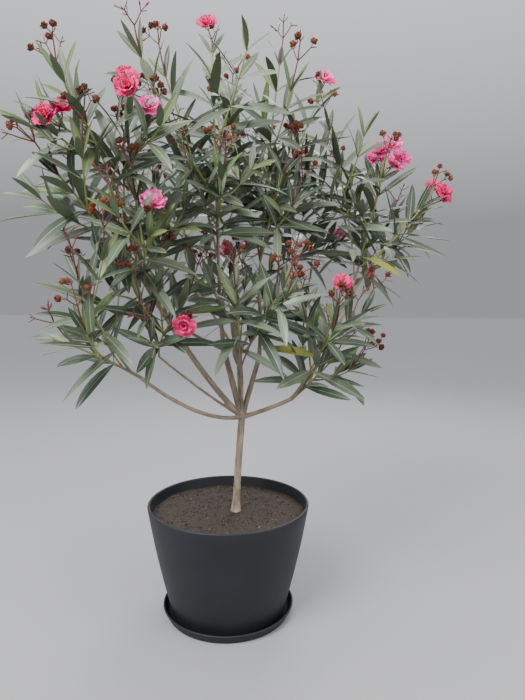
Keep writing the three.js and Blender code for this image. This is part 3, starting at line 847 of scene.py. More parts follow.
def bark_mesh(name, limbs):
    """Closed tubes for the trunk and the boughs, fused into one skin and given the bark's relief."""
    splines = []
    for key, limb in limbs.items():
        steps = max(8, round(limb.length / LIMB_STEP))
        spline = []
        for i in range(steps + 1):
            share = i / steps
            swell = 0.0 if key == "trunk" else FOOT_SWELL * math.exp(-share * limb.length / FOOT_SWELL_LENGTH)
            spline.append((limb.path.point(share), limb.radius(share) * (1 + swell)))
        if key == "trunk":
            spline.append((FORK + UP * FORK_TOP, FORK_RADIUS * MM * 0.8))
        splines.append(spline)
    holder = linked(name + "_raw", tubes(name + "_raw", splines, LIMB_SIDES, None))
    remesh = holder.modifiers.new("Fuse", "REMESH")
    remesh.mode = "VOXEL"
    remesh.voxel_size = BARK_VOXEL
    ease = holder.modifiers.new("Ease", "SMOOTH")
    ease.factor = 0.5
    ease.iterations = 3
    mesh = settled(holder)
    bark_relief(mesh, limbs)
    smooth(mesh, 60)
    return mesh


def noise_at(point, across_scale, along_scale, shift=0):
    return noise.noise(Vector((point.x * across_scale, point.y * across_scale, point.z * along_scale + shift)))


def bark_relief(mesh, limbs):
    """Pushes the skin out in ridges, rings and pores that follow each limb, and notes where each point lies."""
    samples = []
    for limb in limbs.values():
        count = math.ceil(limb.length / LIE_STEP)
        samples += [(limb, i / count) for i in range(count + 1)]
    finder = kdtree.KDTree(len(samples))
    for i, (limb, share) in enumerate(samples):
        finder.insert(limb.path.point(share), i)
    finder.balance()
    offsets = {id(limb): 10.0 * i for i, limb in enumerate(limbs.values())}
    scars = {id(limb): [k * SCAR_SPACING + 0.01 * noise.noise(Vector((k * 3.1, offsets[id(limb)], 0)))
                        for k in range(1, int(limb.length / SCAR_SPACING) + 1)] for limb in limbs.values()}
    height, thickest = sizes().bark_relief, STEM_RADIUS * MM
    moved, lies, ages = [], [], []
    for vertex in mesh.vertices:
        point = vertex.co
        limb, share = samples[finder.find(point)[1]]
        tangent = limb.path.tangent(share)
        gap = point - limb.path.point(share)
        along = share * limb.length + gap.dot(tangent)
        side, front = across(limb.path, tangent)
        unrolled = Vector((gap.dot(side), gap.dot(front), along + offsets[id(limb)]))
        ridges = noise_at(unrolled, *RIDGES)
        grain = noise_at(unrolled, *GRAIN)
        pores = max(0.0, noise_at(unrolled, *PORES) - PORES_ABOVE)
        rings = sum(math.exp(-((along - spot) / SCAR_WIDTH) ** 2) for spot in scars[id(limb)])
        push = RIDGE_SHARE * ridges + GRAIN_SHARE * grain + RING_SHARE * rings + PORE_SHARE * pores
        moved.append(point + vertex.normal * (height * push))
        lies.append(unrolled)
        ages.append(1 - min(1.0, limb.radius(share) / thickest))
    mesh.vertices.foreach_set("co", np.array(moved, dtype=np.float32).ravel())
    add_vectors(mesh, "bark_lie", lies)
    age = mesh.attributes.new("bark_youth", "FLOAT", "POINT")
    age.data.foreach_set("value", np.array(ages, dtype=np.float32))
    mesh.update()


def bark_lie(tree):
    """Where a point lies on its limb, squeezed so that blotches run along it."""
    lie = add_node(tree, "ShaderNodeAttribute", attribute_name="bark_lie")
    squeeze = add_node(tree, "ShaderNodeMapping", {"Scale": (1.0, 1.0, 0.22)})
    wire(tree, (lie, "Vector", squeeze, "Vector"))
    return squeeze


def bark_finish():
    """Grey-brown bark with streaks along the limb, and more green where the limb is thin."""
    material = mottled("bark", shades_of(colours().bark, 0.5, 1.2), scale=90.0, roughness=(0.75, 0.95),
                       bump=(0.5, 0.001), lie=bark_lie, contrast=3.0, specular=0.3)
    tree, shader = material.node_tree, shader_of(material)
    mix = shader.inputs["Base Color"].links[0].from_node
    youth = add_node(tree, "ShaderNodeAttribute", attribute_name="bark_youth")
    amount = add_node(tree, "ShaderNodeMath", {1: 0.6}, operation="MULTIPLY")
    green = add_node(tree, "ShaderNodeMix", {"B": (*colours().shoot_brown, 1.0)}, data_type="RGBA")
    wire(tree, (youth, "Fac", amount, 0), (amount, 0, green, "Factor"), (mix, "Result", green, "A"),
         (green, "Result", shader, "Base Color"))
    return material


# Shoots


def shoot_spline(shoot, first, last):
    """Points along a part of a shoot, a little thicker at each leaf scar."""
    length = (last - first) * shoot.length
    steps = max(3, round(length / LIMB_STEP))
    spacing = spacing_of(shoot)
    spline = []
    for i in range(steps + 1):
        share = first + (last - first) * i / steps
        below = shoot.length - TOP_WHORL * MM - share * shoot.length
        near = abs((below / spacing) - round(below / spacing)) * spacing
        swell = WHORL_SWELL * math.exp(-((near / WHORL_SWELL_LENGTH) ** 2))
        collar = (shoot.collar - shoot.foot) * math.exp(-share * shoot.length / COLLAR_LENGTH)
        spline.append((shoot.path.point(share), shoot.radius(share) * (1 + swell) + collar))
    return spline


def add_stems(name, splines, sides, colour, roughness, nodes=()):
    """A piece of shoots or stalks."""
    finish = finish_of(name, colour, roughness, specular=0.4)
    mesh = tubes(name, splines, sides, finish)
    mesh.shade_smooth()
    hand_over(piece_of(name, mesh, [finish]), nodes)


# Leaves


class Blade:
    """One leaf, with the directions along it, across it and out of its upper face."""

    def __init__(self, root, way, side, face, length, width, bend, twist, fold, sickle):
        self.root, self.way, self.side, self.face = root, way, side, face
        self.length, self.width = length, width
        self.bend, self.twist, self.fold, self.sickle = bend, twist, fold, sickle

    def spine(self, share):
        """Point, direction across and direction out of the upper face at a share of the length."""
        angle = self.bend * share
        if abs(self.bend) < 1e-3:
            ahead, drop = share, 0.0
        else:
            ahead, drop = math.sin(angle) / self.bend, (1 - math.cos(angle)) / self.bend
        point = self.root + (self.way * ahead - self.face * drop) * self.length
        point += self.side * (self.sickle * self.length * share * share)
        up = turned_way(self.face, self.way, angle)
        along = self.way * math.cos(angle) - self.face * math.sin(angle)
        across_way = turned_way(self.side, up, self.twist * share)
        return point, across_way, along.cross(across_way) * -1.0

    def feelers(self):
        return [self.spine(share)[0] for share in FEELERS]

    def mesh(self):
        """Points, faces and materials: 0 is the upper side, 1 the midrib and 2 the underside."""
        points = []
        for share, half in zip(STATIONS[:-1], HALF_WIDTHS[:-1]):
            point, wide, up = self.spine(share)
            reach = half * self.width / 2
            rib = min(RIB_HALF_WIDTH * MM * (1.1 - 0.7 * share), reach * 0.4)
            lift = up * (self.fold * reach)
            ridge = up * (RIB_HEIGHT * MM * (1 - share))
            thick = LEAF_THICKNESS * MM * (1.3 - share)
            points += [point - wide * reach + lift, point - wide * rib + ridge, point + wide * rib + ridge,
                       point + wide * reach + lift, point - up * thick]
        points.append(self.spine(1.0)[0])
        faces, slots = [], []
        # Both sides are cut along the same diagonals, so that they don't cross where the leaf twists
        strips = ((0, 1, 0, True), (1, 2, 1, True), (2, 3, 0, False), (3, 4, 2, True), (4, 0, 2, False))
        for station in range(len(STATIONS) - 2):
            low, high = station * 5, station * 5 + 5
            for a, b, slot, rising in strips:
                if rising:
                    faces += [(low + a, low + b, high + a), (low + b, high + b, high + a)]
                else:
                    faces += [(low + a, low + b, high + b), (low + a, high + b, high + a)]
                slots += [slot, slot]
        low, tip = (len(STATIONS) - 2) * 5, len(points) - 1
        for a, b, slot, _ in strips:
            faces.append((low + a, low + b, tip))
            slots.append(slot)
        faces.append((4, 3, 2, 1, 0))
        slots.append(2)
        return points, faces, slots


def blades_of(shoot, leafy, most):
    """Whorls of three leaves down a shoot, the upper ones younger, shorter and steeper."""
    spacing = spacing_of(shoot)
    blades = []
    for whorl in range(most):
        along = shoot.length - TOP_WHORL * MM - whorl * spacing
        share = along / shoot.length
        if share < leafy:
            break
        tangent = shoot.path.tangent(share)
        side, front = across(shoot.path, tangent)
        for k in range(LEAVES_IN_WHORL):
            draw = chance(shoot.seed * 100 + whorl * 10 + k)
            if draw(0, 1) < FALLEN[whorl]:
                continue
            turn = k * 360 / LEAVES_IN_WHORL + whorl * WHORL_TURN + shoot.seed * SEED_TURN
            turn = math.radians(turn + draw(-LEAF_TURN, LEAF_TURN))
            lean = math.radians(LEANS[whorl] + draw(-LEAN_SPREAD, LEAN_SPREAD))
            age = YOUNG_SHARES[whorl] if whorl < len(YOUNG_SHARES) else 1.0
            length = sizes().leaf_length * age * draw(*LEAF_SPREAD)
            way = turned_way(tangent, turned_way(side, front, turn), lean)
            way = (way - UP * (DROOP * age * draw(*DROOP_SPREAD))).normalized()
            face = way.cross(tangent).cross(way).normalized()
            face = (face * LEVEL_FACE + SKYWARD * draw(*SKYWARD_SPREAD)).normalized()
            edge = way.cross(face).normalized()
            face = edge.cross(way)
            root = shoot.path.point(share) + way * (ROOT_OUT * shoot.radius(share))
            width = sizes().leaf_width * (YOUNG_WIDTH + (1 - YOUNG_WIDTH) * age) * draw(*WIDTH_SPREAD)
            bend = draw(*BEND_SPREAD) * age - (LIFT if draw(0, 1) < LIFTED else 0.0)
            shape = [draw(*spread) for spread in (TWIST_SPREAD, FOLD_SPREAD, SICKLE_SPREAD)]
            blade = Blade(root, way, edge, face, length, width, bend, *shape)
            blade.old = whorl >= len(YOUNG_SHARES) and root.z < YELLOW_BELOW and root.x > FORK.x
            blade.young = whorl == 0 or (whorl == 1 and draw(0, 1) < SECOND_YOUNG)
            blades.append(blade)
    return blades


def sort_of(blade, shoot, index):
    """The tint of a leaf: one for the spray, with fresh leaves at the tip and a few that turn yellow."""
    draw = chance(shoot.seed * 7 + index * 3 + 1)
    if blade.old and draw(0, 1) < YELLOW:
        return "leaf_yellow"
    if blade.young and draw(0, 1) < FRESH:
        return "leaf_fresh"
    spray = chance(shoot.seed + 91)(0, 1)
    if draw(0, 1) < STRAYS:
        spray = draw(0, 1)
    if spray < DEEP_UP_TO:
        return "leaf_deep"
    return "leaf_green" if spray < GREEN_UP_TO else "leaf_grey"


def grow_blades():
    """The blades of the whole crown by tint, without those that meet a limb or leave the crown's space."""
    sprays = {tint: [] for tint in TINTS}
    grown = plant()
    rows = [(main, MAIN_BARE_SHARE, sizes().whorls + MAIN_EXTRA_WHORLS) for main in grown.mains]
    rows += [(side, BARE_SHARE, sizes().whorls) for side in grown.sides]
    for shoot, leafy, most in rows:
        for index, blade in enumerate(blades_of(shoot, leafy, most)):
            if not all(map(inside, blade.feelers())):
                blade.length *= SHORTENED
            feelers = blade.feelers()
            clear = (grown.wood.distance(feelers) >= LIMB_ROOM * MM + blade.width * LEAF_ROOM).all()
            if clear and all(map(inside, feelers)):
                sprays[sort_of(blade, shoot, index)].append(blade)
    return sprays


# Flowers


# A petal, one unit long: half width at its foot, what it swells by and has at its widest, how narrow its
# tip is, how far it curls up and cups, and its thickness
PETAL_FOOT = 0.1
PETAL_SWELL = 0.34
PETAL_WIDEST = 0.44
PETAL_TIP = 0.62
PETAL_CURL = 0.10
PETAL_CUP = 0.13
PETAL_THICKNESS = 0.022

# How petals stand in a flower: turn from whorl to whorl and strays of turn and lean, in degrees, and the spread
# of their lengths and widths
PETAL_TURN = 31
TURN_STRAY = 9
LEAN_STRAY = 8
PETAL_LENGTHS = (0.9, 1.08)
PETAL_WIDTHS = (0.92, 1.12)


def petal_mesh(name, steps, ruffle):
    """A thin closed petal along +X with its upper side up, one unit long."""
    shares = np.linspace(0, 1, steps + 1)
    widths = PETAL_FOOT + PETAL_SWELL * np.sin(math.pi * shares**0.8 * 0.62) ** 1.3
    widths[-1] *= PETAL_TIP
    rows = np.linspace(-1, 1, steps + 1)
    upper, lower = [], []
    for share, half in zip(shares, widths):
        for row in rows:
            rim = 1 - 0.16 * row * row * (share > 0.9)
            x = share * rim
            y = half * row * 1.05
            z = PETAL_CURL * share * share + PETAL_CUP * (row * half / PETAL_WIDEST) ** 2 * share
            z += ruffle * math.sin(5.2 * row + 2.2 * share) * share * share
            upper.append((x, y, z))
            lower.append((x, y, z - PETAL_THICKNESS))
    count = steps + 1
    points = upper + lower
    half_count = len(upper)
    faces = []
    for i in range(steps):
        for j in range(steps):
            a = i * count + j
            quad = (a, a + count, a + count + 1, a + 1)
            faces.append(quad)
            faces.append(tuple(half_count + v for v in reversed(quad)))
    border = [i * count for i in range(count)]
    border += [steps * count + j for j in range(1, count)]
    border += [i * count + steps for i in range(steps - 1, -1, -1)]
    border += [j for j in range(steps - 1, 0, -1)]
    for a, b in zip(border, border[1:] + border[:1]):
        faces.append((b, a, half_count + a, half_count + b))
    mesh = mesh_of(name, points, faces)
    mesh.shade_smooth()
    return mesh


def spindle_mesh(name, sides, profile):
    """A closed pointed body along +X, one unit long."""
    points, faces = turned([(0.0, 0.0), *[(r, x) for x, r in profile], (0.0, 1.0)], sides)
    mesh = mesh_of(name, [(z, x, y) for x, y, z in points], faces)
    mesh.shade_smooth()
    return mesh


def basis(way, up):
    """Euler angles that turn +X to a way and +Z near to up."""
    x = way.normalized()
    y = up.cross(x)
    if y.length < 1e-4:
        y = Vector((0.0, 1.0, 0.0)).cross(x)
    y.normalize()
    z = x.cross(y)
    return Matrix((x, y, z)).transposed().to_euler()


def petals_of(point, axis, radius, seed, whorls):
    """Places for the petals of one flower: (count, lean in degrees, size) for each whorl."""
    draw = chance(seed)
    side = axis.orthogonal().normalized()
    front = axis.cross(side)
    places = []
    for row, (count, lean, size) in enumerate(whorls):
        for k in range(count):
            turn = math.radians(k * 360 / count + row * PETAL_TURN + draw(-TURN_STRAY, TURN_STRAY))
            tilt = math.radians(lean + draw(-LEAN_STRAY, LEAN_STRAY))
            out = turned_way(side, front, turn)
            way = turned_way(axis, out, tilt)
            up = axis * math.sin(tilt) - out * math.cos(tilt)
            length = radius * size * draw(*PETAL_LENGTHS)
            places.append((point, basis(way, up), (length, length * draw(*PETAL_WIDTHS), length)))
    return places


# What stands at the tips: petals in whorls of (count, lean in degrees, size), or the length of a bud
PETALS = {
    "open": ((5, 82, 1.0), (5, 60, 0.82), (5, 36, 0.62), (3, 14, 0.42)),
    "rose": ((5, 72, 0.92), (5, 48, 0.8), (4, 24, 0.58)),
    "dry": ((4, 64, 0.34), (4, 34, 0.42), (3, 12, 0.38)),
}
BUDS = {"bud": (0.015, (0.7, 1.25), 0.002), "stub": (0.0065, (0.7, 1.3), 0.001)}
RUSTY_EVERY = 3

# Seeds of the side shoots that bloom
SIDE_BLOOMS = (401, 403, 1502, 2401, 2704)

# Where open flowers turn to, and how much of their own axis and of that way they keep
SUNWARD = Vector((-0.08, -0.95, 0.12))
OWN_SHARE = 0.45
SUN_SHARE = 0.8

# Stalks, rays and the short stalks on them, in metres, degrees and shares of a length: how they stray, bow,
# set off and rise, their radii, how deep each starts in the one below it, and how the short ones lean and reach
STALK_SPREAD = (0.9, 1.1)
STALK_BOW = 0.1
STALK_ONWARD = 0.08
RAY_SEED_TURN = 17
RAY_TURN = 22
RAY_RISE = 0.08
STALK_RADII = (0.0026, 0.0024, 0.0021)
RAY_RADII = (0.0020, 0.0018, 0.0017)
TIP_RADII = (0.0014, 0.0013, 0.0014)
RAY_SUNK = 0.002
TIP_SUNK = 0.001
RAY_BOW = 0.0015
FIRST_LEAN = (14, 34)
NEXT_LEAN = (34, 62)
FLOWER_REACH = (0.011, 0.017)
BUD_REACH = (0.008, 0.024)

# Each kind of flower head: length of the stalk in metres, how far it turns upwards, length of its rays
# in metres, their spread in degrees and what each ray carries
HEADS = {
    "cluster": (0.050, 0.5, (0.050, 0.085), (30, 70), (("open", "bud", "stub"),) * 6),
    "bloom": (0.042, 1.2, (0.026, 0.044), (24, 46),
              (("open", "bud"), ("bud", "bud", "stub"), ("dry", "bud", "stub"), ("bud", "stub"))),
    "rose": (0.075, -0.25, (0.030, 0.048), (28, 50),
             (("rose", "bud"), ("rose", "bud", "dry"), ("rose", "stub", "stub"))),
    "pair": (0.030, 2.5, (0.024, 0.040), (30, 56), (("rose", "bud"), ("rose", "stub"), ("bud", "dry", "stub"))),
    "bowed": (0.045, -0.5, (0.022, 0.036), (24, 52),
              (("rose", "bud"), ("dry", "bud", "bud"), ("bud", "dry", "stub"))),
    "tuft": (0.045, 0.1, (0.018, 0.034), (18, 50), (("rose", "bud"), ("bud", "dry", "stub"))),
    "seared": (0.095, 0.5, (0.030, 0.058), (20, 50),
               (("dry", "stub", "stub"), ("stub", "dry", "stub", "dry"), ("dry", "stub", "bud"))),
    "long": (0.092, 0.0, (0.036, 0.066), (16, 48),
             (("dry", "stub"), ("stub", "stub", "dry"), ("stub", "stub", "stub"), ("dry", "dry", "stub"),
              ("stub", "stub"))),
    "buds": (0.085, 0.5, (0.028, 0.055), (20, 48),
             (("bud", "bud", "stub"), ("stub", "stub", "stub"), ("bud", "stub", "stub"))),
}


class Blossom:
    """Everything that the flower heads are made of: the stalks, and the places of what they carry."""

    def __init__(self):
        self.stalks = []
        self.places = {kind: [] for kind in ("open", "rose", "dry", "rusty", "bud", "stub")}

    def add_stalk(self, points, radii):
        self.stalks.append(list(zip(points, radii)))

    def add_tip(self, kind, point, axis, seed):
        if kind in BUDS:
            usual, span, sunk = BUDS[kind]
            length = usual * chance(seed)(*span)
            self.places[kind].append((point - axis * sunk, basis(axis, UP), (length, length, length)))
            return
        sort = "rusty" if kind == "dry" and seed // SEEDS_A_SHOOT % RUSTY_EVERY == 0 else kind
        self.places[sort] += petals_of(point, axis, sizes().bloom_radius, seed, PETALS[kind])

    def grow(self, shoot):
        """A stalk that forks into rays, each with short stalks for flowers, dry flowers or buds."""
        draw = chance(shoot.seed * 31 + 5)
        onward = shoot.path.tangent(1)
        stalk, rise, reaches, spreads, rays = HEADS[shoot.head]
        tangent = (onward + UP * rise).normalized()
        start = shoot.path.point(1) - onward * (STALK_SUNK * MM)
        length = stalk * draw(*STALK_SPREAD)
        side, front = across(shoot.path, tangent)
        bow = side * draw(-STALK_BOW, STALK_BOW) + front * draw(-STALK_BOW, STALK_BOW)
        top = start + (tangent + bow).normalized() * length
        middle = start.lerp(top, 0.5) + onward * (STALK_ONWARD * length)
        self.add_stalk((start, middle, top), STALK_RADII)
        for ray, kinds in enumerate(rays):
            turn = ray * 360 / len(rays) + draw(-RAY_TURN, RAY_TURN) + shoot.seed * RAY_SEED_TURN
            turn = math.radians(turn)
            spread = math.radians(draw(*spreads))
            out = turned_way(side, front, turn)
            way = (turned_way(tangent, out, spread) + UP * RAY_RISE).normalized()
            seed = shoot.seed * SEEDS_A_SHOOT + ray * SEEDS_A_RAY
            self.grow_ray(draw, top, way, out, draw(*reaches), kinds, seed)

    def grow_ray(self, draw, top, way, out, length, kinds, seed):
        fork = top + way * length
        self.add_stalk((top - way * RAY_SUNK, top.lerp(fork, 0.5) + out * RAY_BOW, fork), RAY_RADII)
        for index, kind in enumerate(kinds):
            turn = math.radians(index * GOLDEN_TURN + draw(0, 60))
            lean = math.radians(draw(*(NEXT_LEAN if index else FIRST_LEAN)))
            across_side = way.orthogonal().normalized()
            aside = turned_way(across_side, way.cross(across_side), turn)
            axis = turned_way(way, aside, lean).normalized()
            if kind in ("open", "rose"):
                axis = (axis * OWN_SHARE + SUNWARD * SUN_SHARE).normalized()
            tip = fork + axis * draw(*(FLOWER_REACH if kind in PETALS else BUD_REACH))
            self.add_stalk((fork - axis * TIP_SUNK, fork.lerp(tip, 0.5), tip), TIP_RADII)
            self.add_tip(kind, tip, axis, seed + index)


# Operators


class OLEANDER_OT_stage(bpy.types.Operator):
    """Lay the floor, hang the soft lights and set the camera"""
    bl_idname = "oleander.stage"
    bl_label = "Stage"

    def execute(self, context):
        corners = [(x * FLOOR_SIZE, y * FLOOR_SIZE, 0) for x, y in ((-1, -1), (1, -1), (1, 1), (-1, 1))]
        floor = piece_of("studio_floor", mesh_of("studio_floor", corners, [(0, 1, 2, 3)]),
                         [finish_of("studio_floor", FLOOR_COLOUR, 0.9, specular=0.1)])
        context.scene.world = self.studio_air()
        for name, spot, size, power in LAMPS:
            lamp = bpy.data.lights.new(name, "AREA")
            lamp.size = size
            lamp.energy = power
            light = linked(name, lamp)
            light.location = spot
            light.rotation_euler = (LIT_POINT - Vector(spot)).to_track_quat("-Z", "Y").to_euler()
        self.add_camera(context.scene)
        return {"FINISHED"}

    @staticmethod
    def studio_air():
        """Soft light that is brighter from above than from the side."""
        world = bpy.data.worlds.new("studio_air")
        world.use_nodes = True
        tree = world.node_tree
        background = tree.nodes["Background"]
        background.inputs["Color"].default_value = AIR_COLOUR
        way = add_node(tree, "ShaderNodeTexCoord")
        split = add_node(tree, "ShaderNodeSeparateXYZ")
        rise = add_node(tree, "ShaderNodeMapRange", AIR_STRENGTH)
        wire(tree, (way, "Generated", split, "Vector"), (split, "Z", rise, "Value"),
             (rise, "Result", background, "Strength"))
        return world

    @staticmethod
    def add_camera(scene):
        """The photograph's view: the camera looks along +Y, tipped down and rolled a little."""
        pitch, roll = math.radians(CAMERA_PITCH), math.radians(CAMERA_ROLL)
        ahead = Vector((0, math.cos(pitch), -math.sin(pitch)))
        right, over = Vector((1, 0, 0)), Vector((0, math.sin(pitch), math.cos(pitch)))
        across_view = right * math.cos(roll) + over * math.sin(roll)
        up_view = over * math.cos(roll) - right * math.sin(roll)
        lens = bpy.data.cameras.new("photo_camera")
        lens.sensor_width = 36.0
        lens.lens = CAMERA_LENS
        turn = Matrix((across_view, up_view, -ahead)).transposed().to_4x4()
        scene.camera = linked("photo_camera", lens)
        scene.camera.matrix_world = Matrix.Translation(CAMERA_SPOT) @ turn


def pot_radius(height):
    """The pot's outer radius at a height, in millimetres."""
    share = (height - POT_FOOT) / POT_HEIGHT
    return POT_BASE_RADIUS + (POT_RIM_RADIUS - POT_BASE_RADIUS) * share + POT_BELLY * math.sin(math.pi * share)


def add_turned(name, profile, node):
    """A plastic piece turned from a profile in millimetres, in place of one node."""
    points, faces = turned([(radius * MM, height * MM) for radius, height in profile], sizes().pot_sides)
    mesh = mesh_of(name, points, faces)
    smooth(mesh, 40)
    plastic = mottled("pot_plastic", shades_of(colours().pot, 1.0, 1.55), scale=7.0, roughness=(0.46, 0.6),
                      bump=(0.10, 0.0006), contrast=1.6, specular=0.32)
    hand_over(piece_of(name, mesh, [plastic]), (node,))


class OLEANDER_OT_pot(bpy.types.Operator):
    """Turn the pot with its rounded rim, hollow down to the soil"""
    bl_idname = "oleander.pot"
    bl_label = "Pot"

    def execute(self, context):
        top = POT_FOOT + POT_HEIGHT
        rim = POT_WALL / 2
        heights = np.linspace(POT_FOOT + POT_CORNER, top - rim, POT_STEPS)
        outer = [(pot_radius(h), h) for h in heights]
        inner = [(pot_radius(h) - POT_WALL, h) for h in heights[::-1]]
        corner = arc((POT_BASE_RADIUS - POT_CORNER, POT_FOOT + POT_CORNER), POT_CORNER, -90, 0, 6)
        edge = arc((pot_radius(top - rim) - rim, top - rim), rim, 0, 180, 9)
        floor = [(radius, POT_FOOT + POT_WALL) for radius in (POT_BASE_RADIUS - POT_WALL - 4, 0)]
        add_turned("round_pot", [(0, POT_FOOT), *corner, *outer[1:], *edge[1:-1], *inner, *floor], "pot")
        return {"FINISHED"}


class OLEANDER_OT_saucer(bpy.types.Operator):
    """Turn the saucer under the pot, with its rolled edge"""
    bl_idname = "oleander.saucer"
    bl_label = "Saucer"

    def execute(self, context):
        foot = arc((SAUCER_FOOT_RADIUS - SAUCER_CORNER, SAUCER_CORNER), SAUCER_CORNER, -90, -12, 5)
        edge = arc((SAUCER_RADIUS - SAUCER_EDGE, SAUCER_HEIGHT - SAUCER_EDGE), SAUCER_EDGE, -10, 190, 9)
        groove = [(SAUCER_FOOT_RADIUS - inwards, depth) for inwards, depth in SAUCER_GROOVE]
        corner = SAUCER_FOOT_RADIUS - SAUCER_WALL
        floor = [(corner + 1, SAUCER_WALL + 4), (corner - 4, SAUCER_WALL), (0, SAUCER_WALL)]
        add_turned("round_saucer", [(0, 0), *groove, *foot, *edge, *floor], "saucer")
        return {"FINISHED"}


class OLEANDER_OT_soil(bpy.types.Operator):
    """Fill the pot with crumbly soil"""
    bl_idname = "oleander.soil"
    bl_label = "Soil"

    def execute(self, context):
        self.add_bed()
        crumb = mottled("soil_crumb", shades_of(colours().soil, 0.7, 1.9), scale=160.0, roughness=(0.85, 1.0),
                        bump=(0.5, 0.001), specular=0.2)
        bit = finish_of("soil_bit", BIT_COLOUR, 0.85, specular=0.2)
        self.add_crumbs("soil_crumbs", count=1500, span=(2.0, 6.5), seed=5, material=crumb)
        self.add_crumbs("soil_bits", count=160, span=(2.5, 8.0), seed=17, material=bit)
        return {"FINISHED"}

    @staticmethod
    def surface(x, y):
        """Height of the soil's surface in millimetres, a little raised round the stem."""
        lumps = sum(height * noise.noise(Vector((x / width, y / width, layer)))
                    for height, width, layer in SOIL_LUMPS)
        mound = SOIL_MOUND * math.exp(-(((x - STEM_X) ** 2 + y**2) / SOIL_MOUND_WIDTH**2))
        return SOIL_TOP - SOIL_DIP + lumps + mound

    def add_bed(self):
        gap = POT_WALL + 2 * CLEAR
        low = POT_FOOT + POT_WALL + CLEAR
        half_way = (low + SOIL_TOP) / 2
        edge = pot_radius(SOIL_TOP) - gap
        angles = np.linspace(0, 2 * math.pi, SOIL_SIDES, endpoint=False)
        rows = [(pot_radius(height) - gap, [height] * SOIL_SIDES) for height in (low, half_way)]
        for ring in range(SOIL_RINGS, 0, -1):
            radius = edge * math.sqrt(ring / SOIL_RINGS)
            rows.append((radius, [self.surface(radius * math.cos(a), radius * math.sin(a)) for a in angles]))
        points = [(0.0, 0.0, low)]
        for radius, heights in rows:
            points += [(radius * math.cos(a), radius * math.sin(a), h) for a, h in zip(angles, heights)]
        points.append((0.0, 0.0, self.surface(0, 0)))
        _, faces = turned([(0, 0), *[(1, 0)] * len(rows), (0, 1)], SOIL_SIDES)
        mesh = mesh_of("soil_bed", [tuple(v * MM for v in p) for p in points], faces)
        smooth(mesh, 50)
        finish = mottled("soil", shades_of(colours().soil, 0.55, 1.5), scale=120.0, roughness=(0.85, 1.0),
                         bump=(0.8, 0.002), contrast=3.0, specular=0.2)
        hand_over(piece_of("soil_bed", mesh, [finish]), ("soil",))

    def add_crumbs(self, name, count, span, seed, material):
        """Crumbs strewn over the soil, sizes in millimetres."""
        draw = chance(seed)
        corners, faces = turned([(0, -1), (0.7, -0.6), (1, 0.05), (0.65, 0.7), (0, 1)], 6)
        shift = Vector((seed, 0, 0))
        corners = [Vector(c) * (1 + 0.35 * noise.noise(Vector(c) * 1.7 + shift)) for c in corners]
        ball = mesh_of(name + "_shape", corners, faces)
        edge = pot_radius(SOIL_TOP) - POT_WALL - 10
        places = []
        for _ in range(count):
            radius = edge * math.sqrt(draw(0, 1))
            turn = draw(0, 2 * math.pi)
            x, y = radius * math.cos(turn), radius * math.sin(turn)
            if math.hypot(x - STEM_X, y) < FLARE_RADIUS + 4:
                continue
            size = draw(0, 1) ** 2 * (span[1] - span[0]) + span[0]
            point = Vector((x, y, self.surface(x, y) + size * 0.1)) * MM
            spin = (draw(0, 6.28), draw(0, 6.28), draw(0, 6.28))
            stretch = (size * MM * 0.6, size * MM * draw(0.35, 0.6), size * MM * draw(0.3, 0.5))
            places.append((point, spin, stretch))
        mesh = scattered(name, ball, places, material)
        mesh.shade_flat()
        hand_over(piece_of(name, mesh, [material]))


class OLEANDER_OT_limbs(bpy.types.Operator):
    """Skin the trunk and the boughs with bark in relief"""
    bl_idname = "oleander.limbs"
    bl_label = "Trunk and boughs"

    def execute(self, context):
        piece = piece_of("trunk_and_boughs", bark_mesh("trunk_and_boughs", plant().limbs), [bark_finish()])
        hand_over(piece, ("trunk", *[row[0] for row in LIMBS]))
        return {"FINISHED"}


class OLEANDER_OT_shoots(bpy.types.Operator):
    """Grow the main shoots on from the boughs, with their side shoots"""
    bl_idname = "oleander.shoots"
    bl_label = "Shoots"

    def execute(self, context):
        grown = plant()
        brown = [shoot_spline(main, 0, BROWN_UP_TO) for main in grown.mains]
        green = [shoot_spline(main, GREEN_FROM, 1) for main in grown.mains]
        for side in grown.sides:
            (brown if side.seed % BROWN_EVERY == 0 else green).append(shoot_spline(side, 0, 1))
        add_stems("shoots_green", green, 8, colours().shoot_green, roughness=0.55, nodes=MASS_NAMES)
        add_stems("shoots_brown", brown, 8, colours().shoot_brown, roughness=0.55)
        return {"FINISHED"}


class OLEANDER_OT_leaves(bpy.types.Operator):
    """Set whorls of lance-shaped leaves on every shoot, one piece for each tint"""
    bl_idname = "oleander.leaves"
    bl_label = "Leaves"

    def execute(self, context):
        under = finish_of("leaf_under", colours().leaf_under, roughness=0.6, specular=0.35)
        rib = finish_of("leaf_rib", colours().leaf_rib, roughness=0.5, specular=0.4)
        for tint, blades in grow_blades().items():
            if not blades:
                raise RuntimeError("no leaves are " + tint)
            points, faces, slots = [], [], []
            for blade in blades:
                base = len(points)
                own_points, own_faces, own_slots = blade.mesh()
                points += own_points
                faces += [tuple(base + v for v in face) for face in own_faces]
                slots += own_slots
            mesh = mesh_of(tint, points, faces)
            smooth(mesh, 50)
            upper = finish_of(tint, getattr(colours(), tint), roughness=0.42, specular=0.5)
            hand_over(piece_of(tint, mesh, [upper, rib, under], slots), MASS_NAMES)
        return {"FINISHED"}


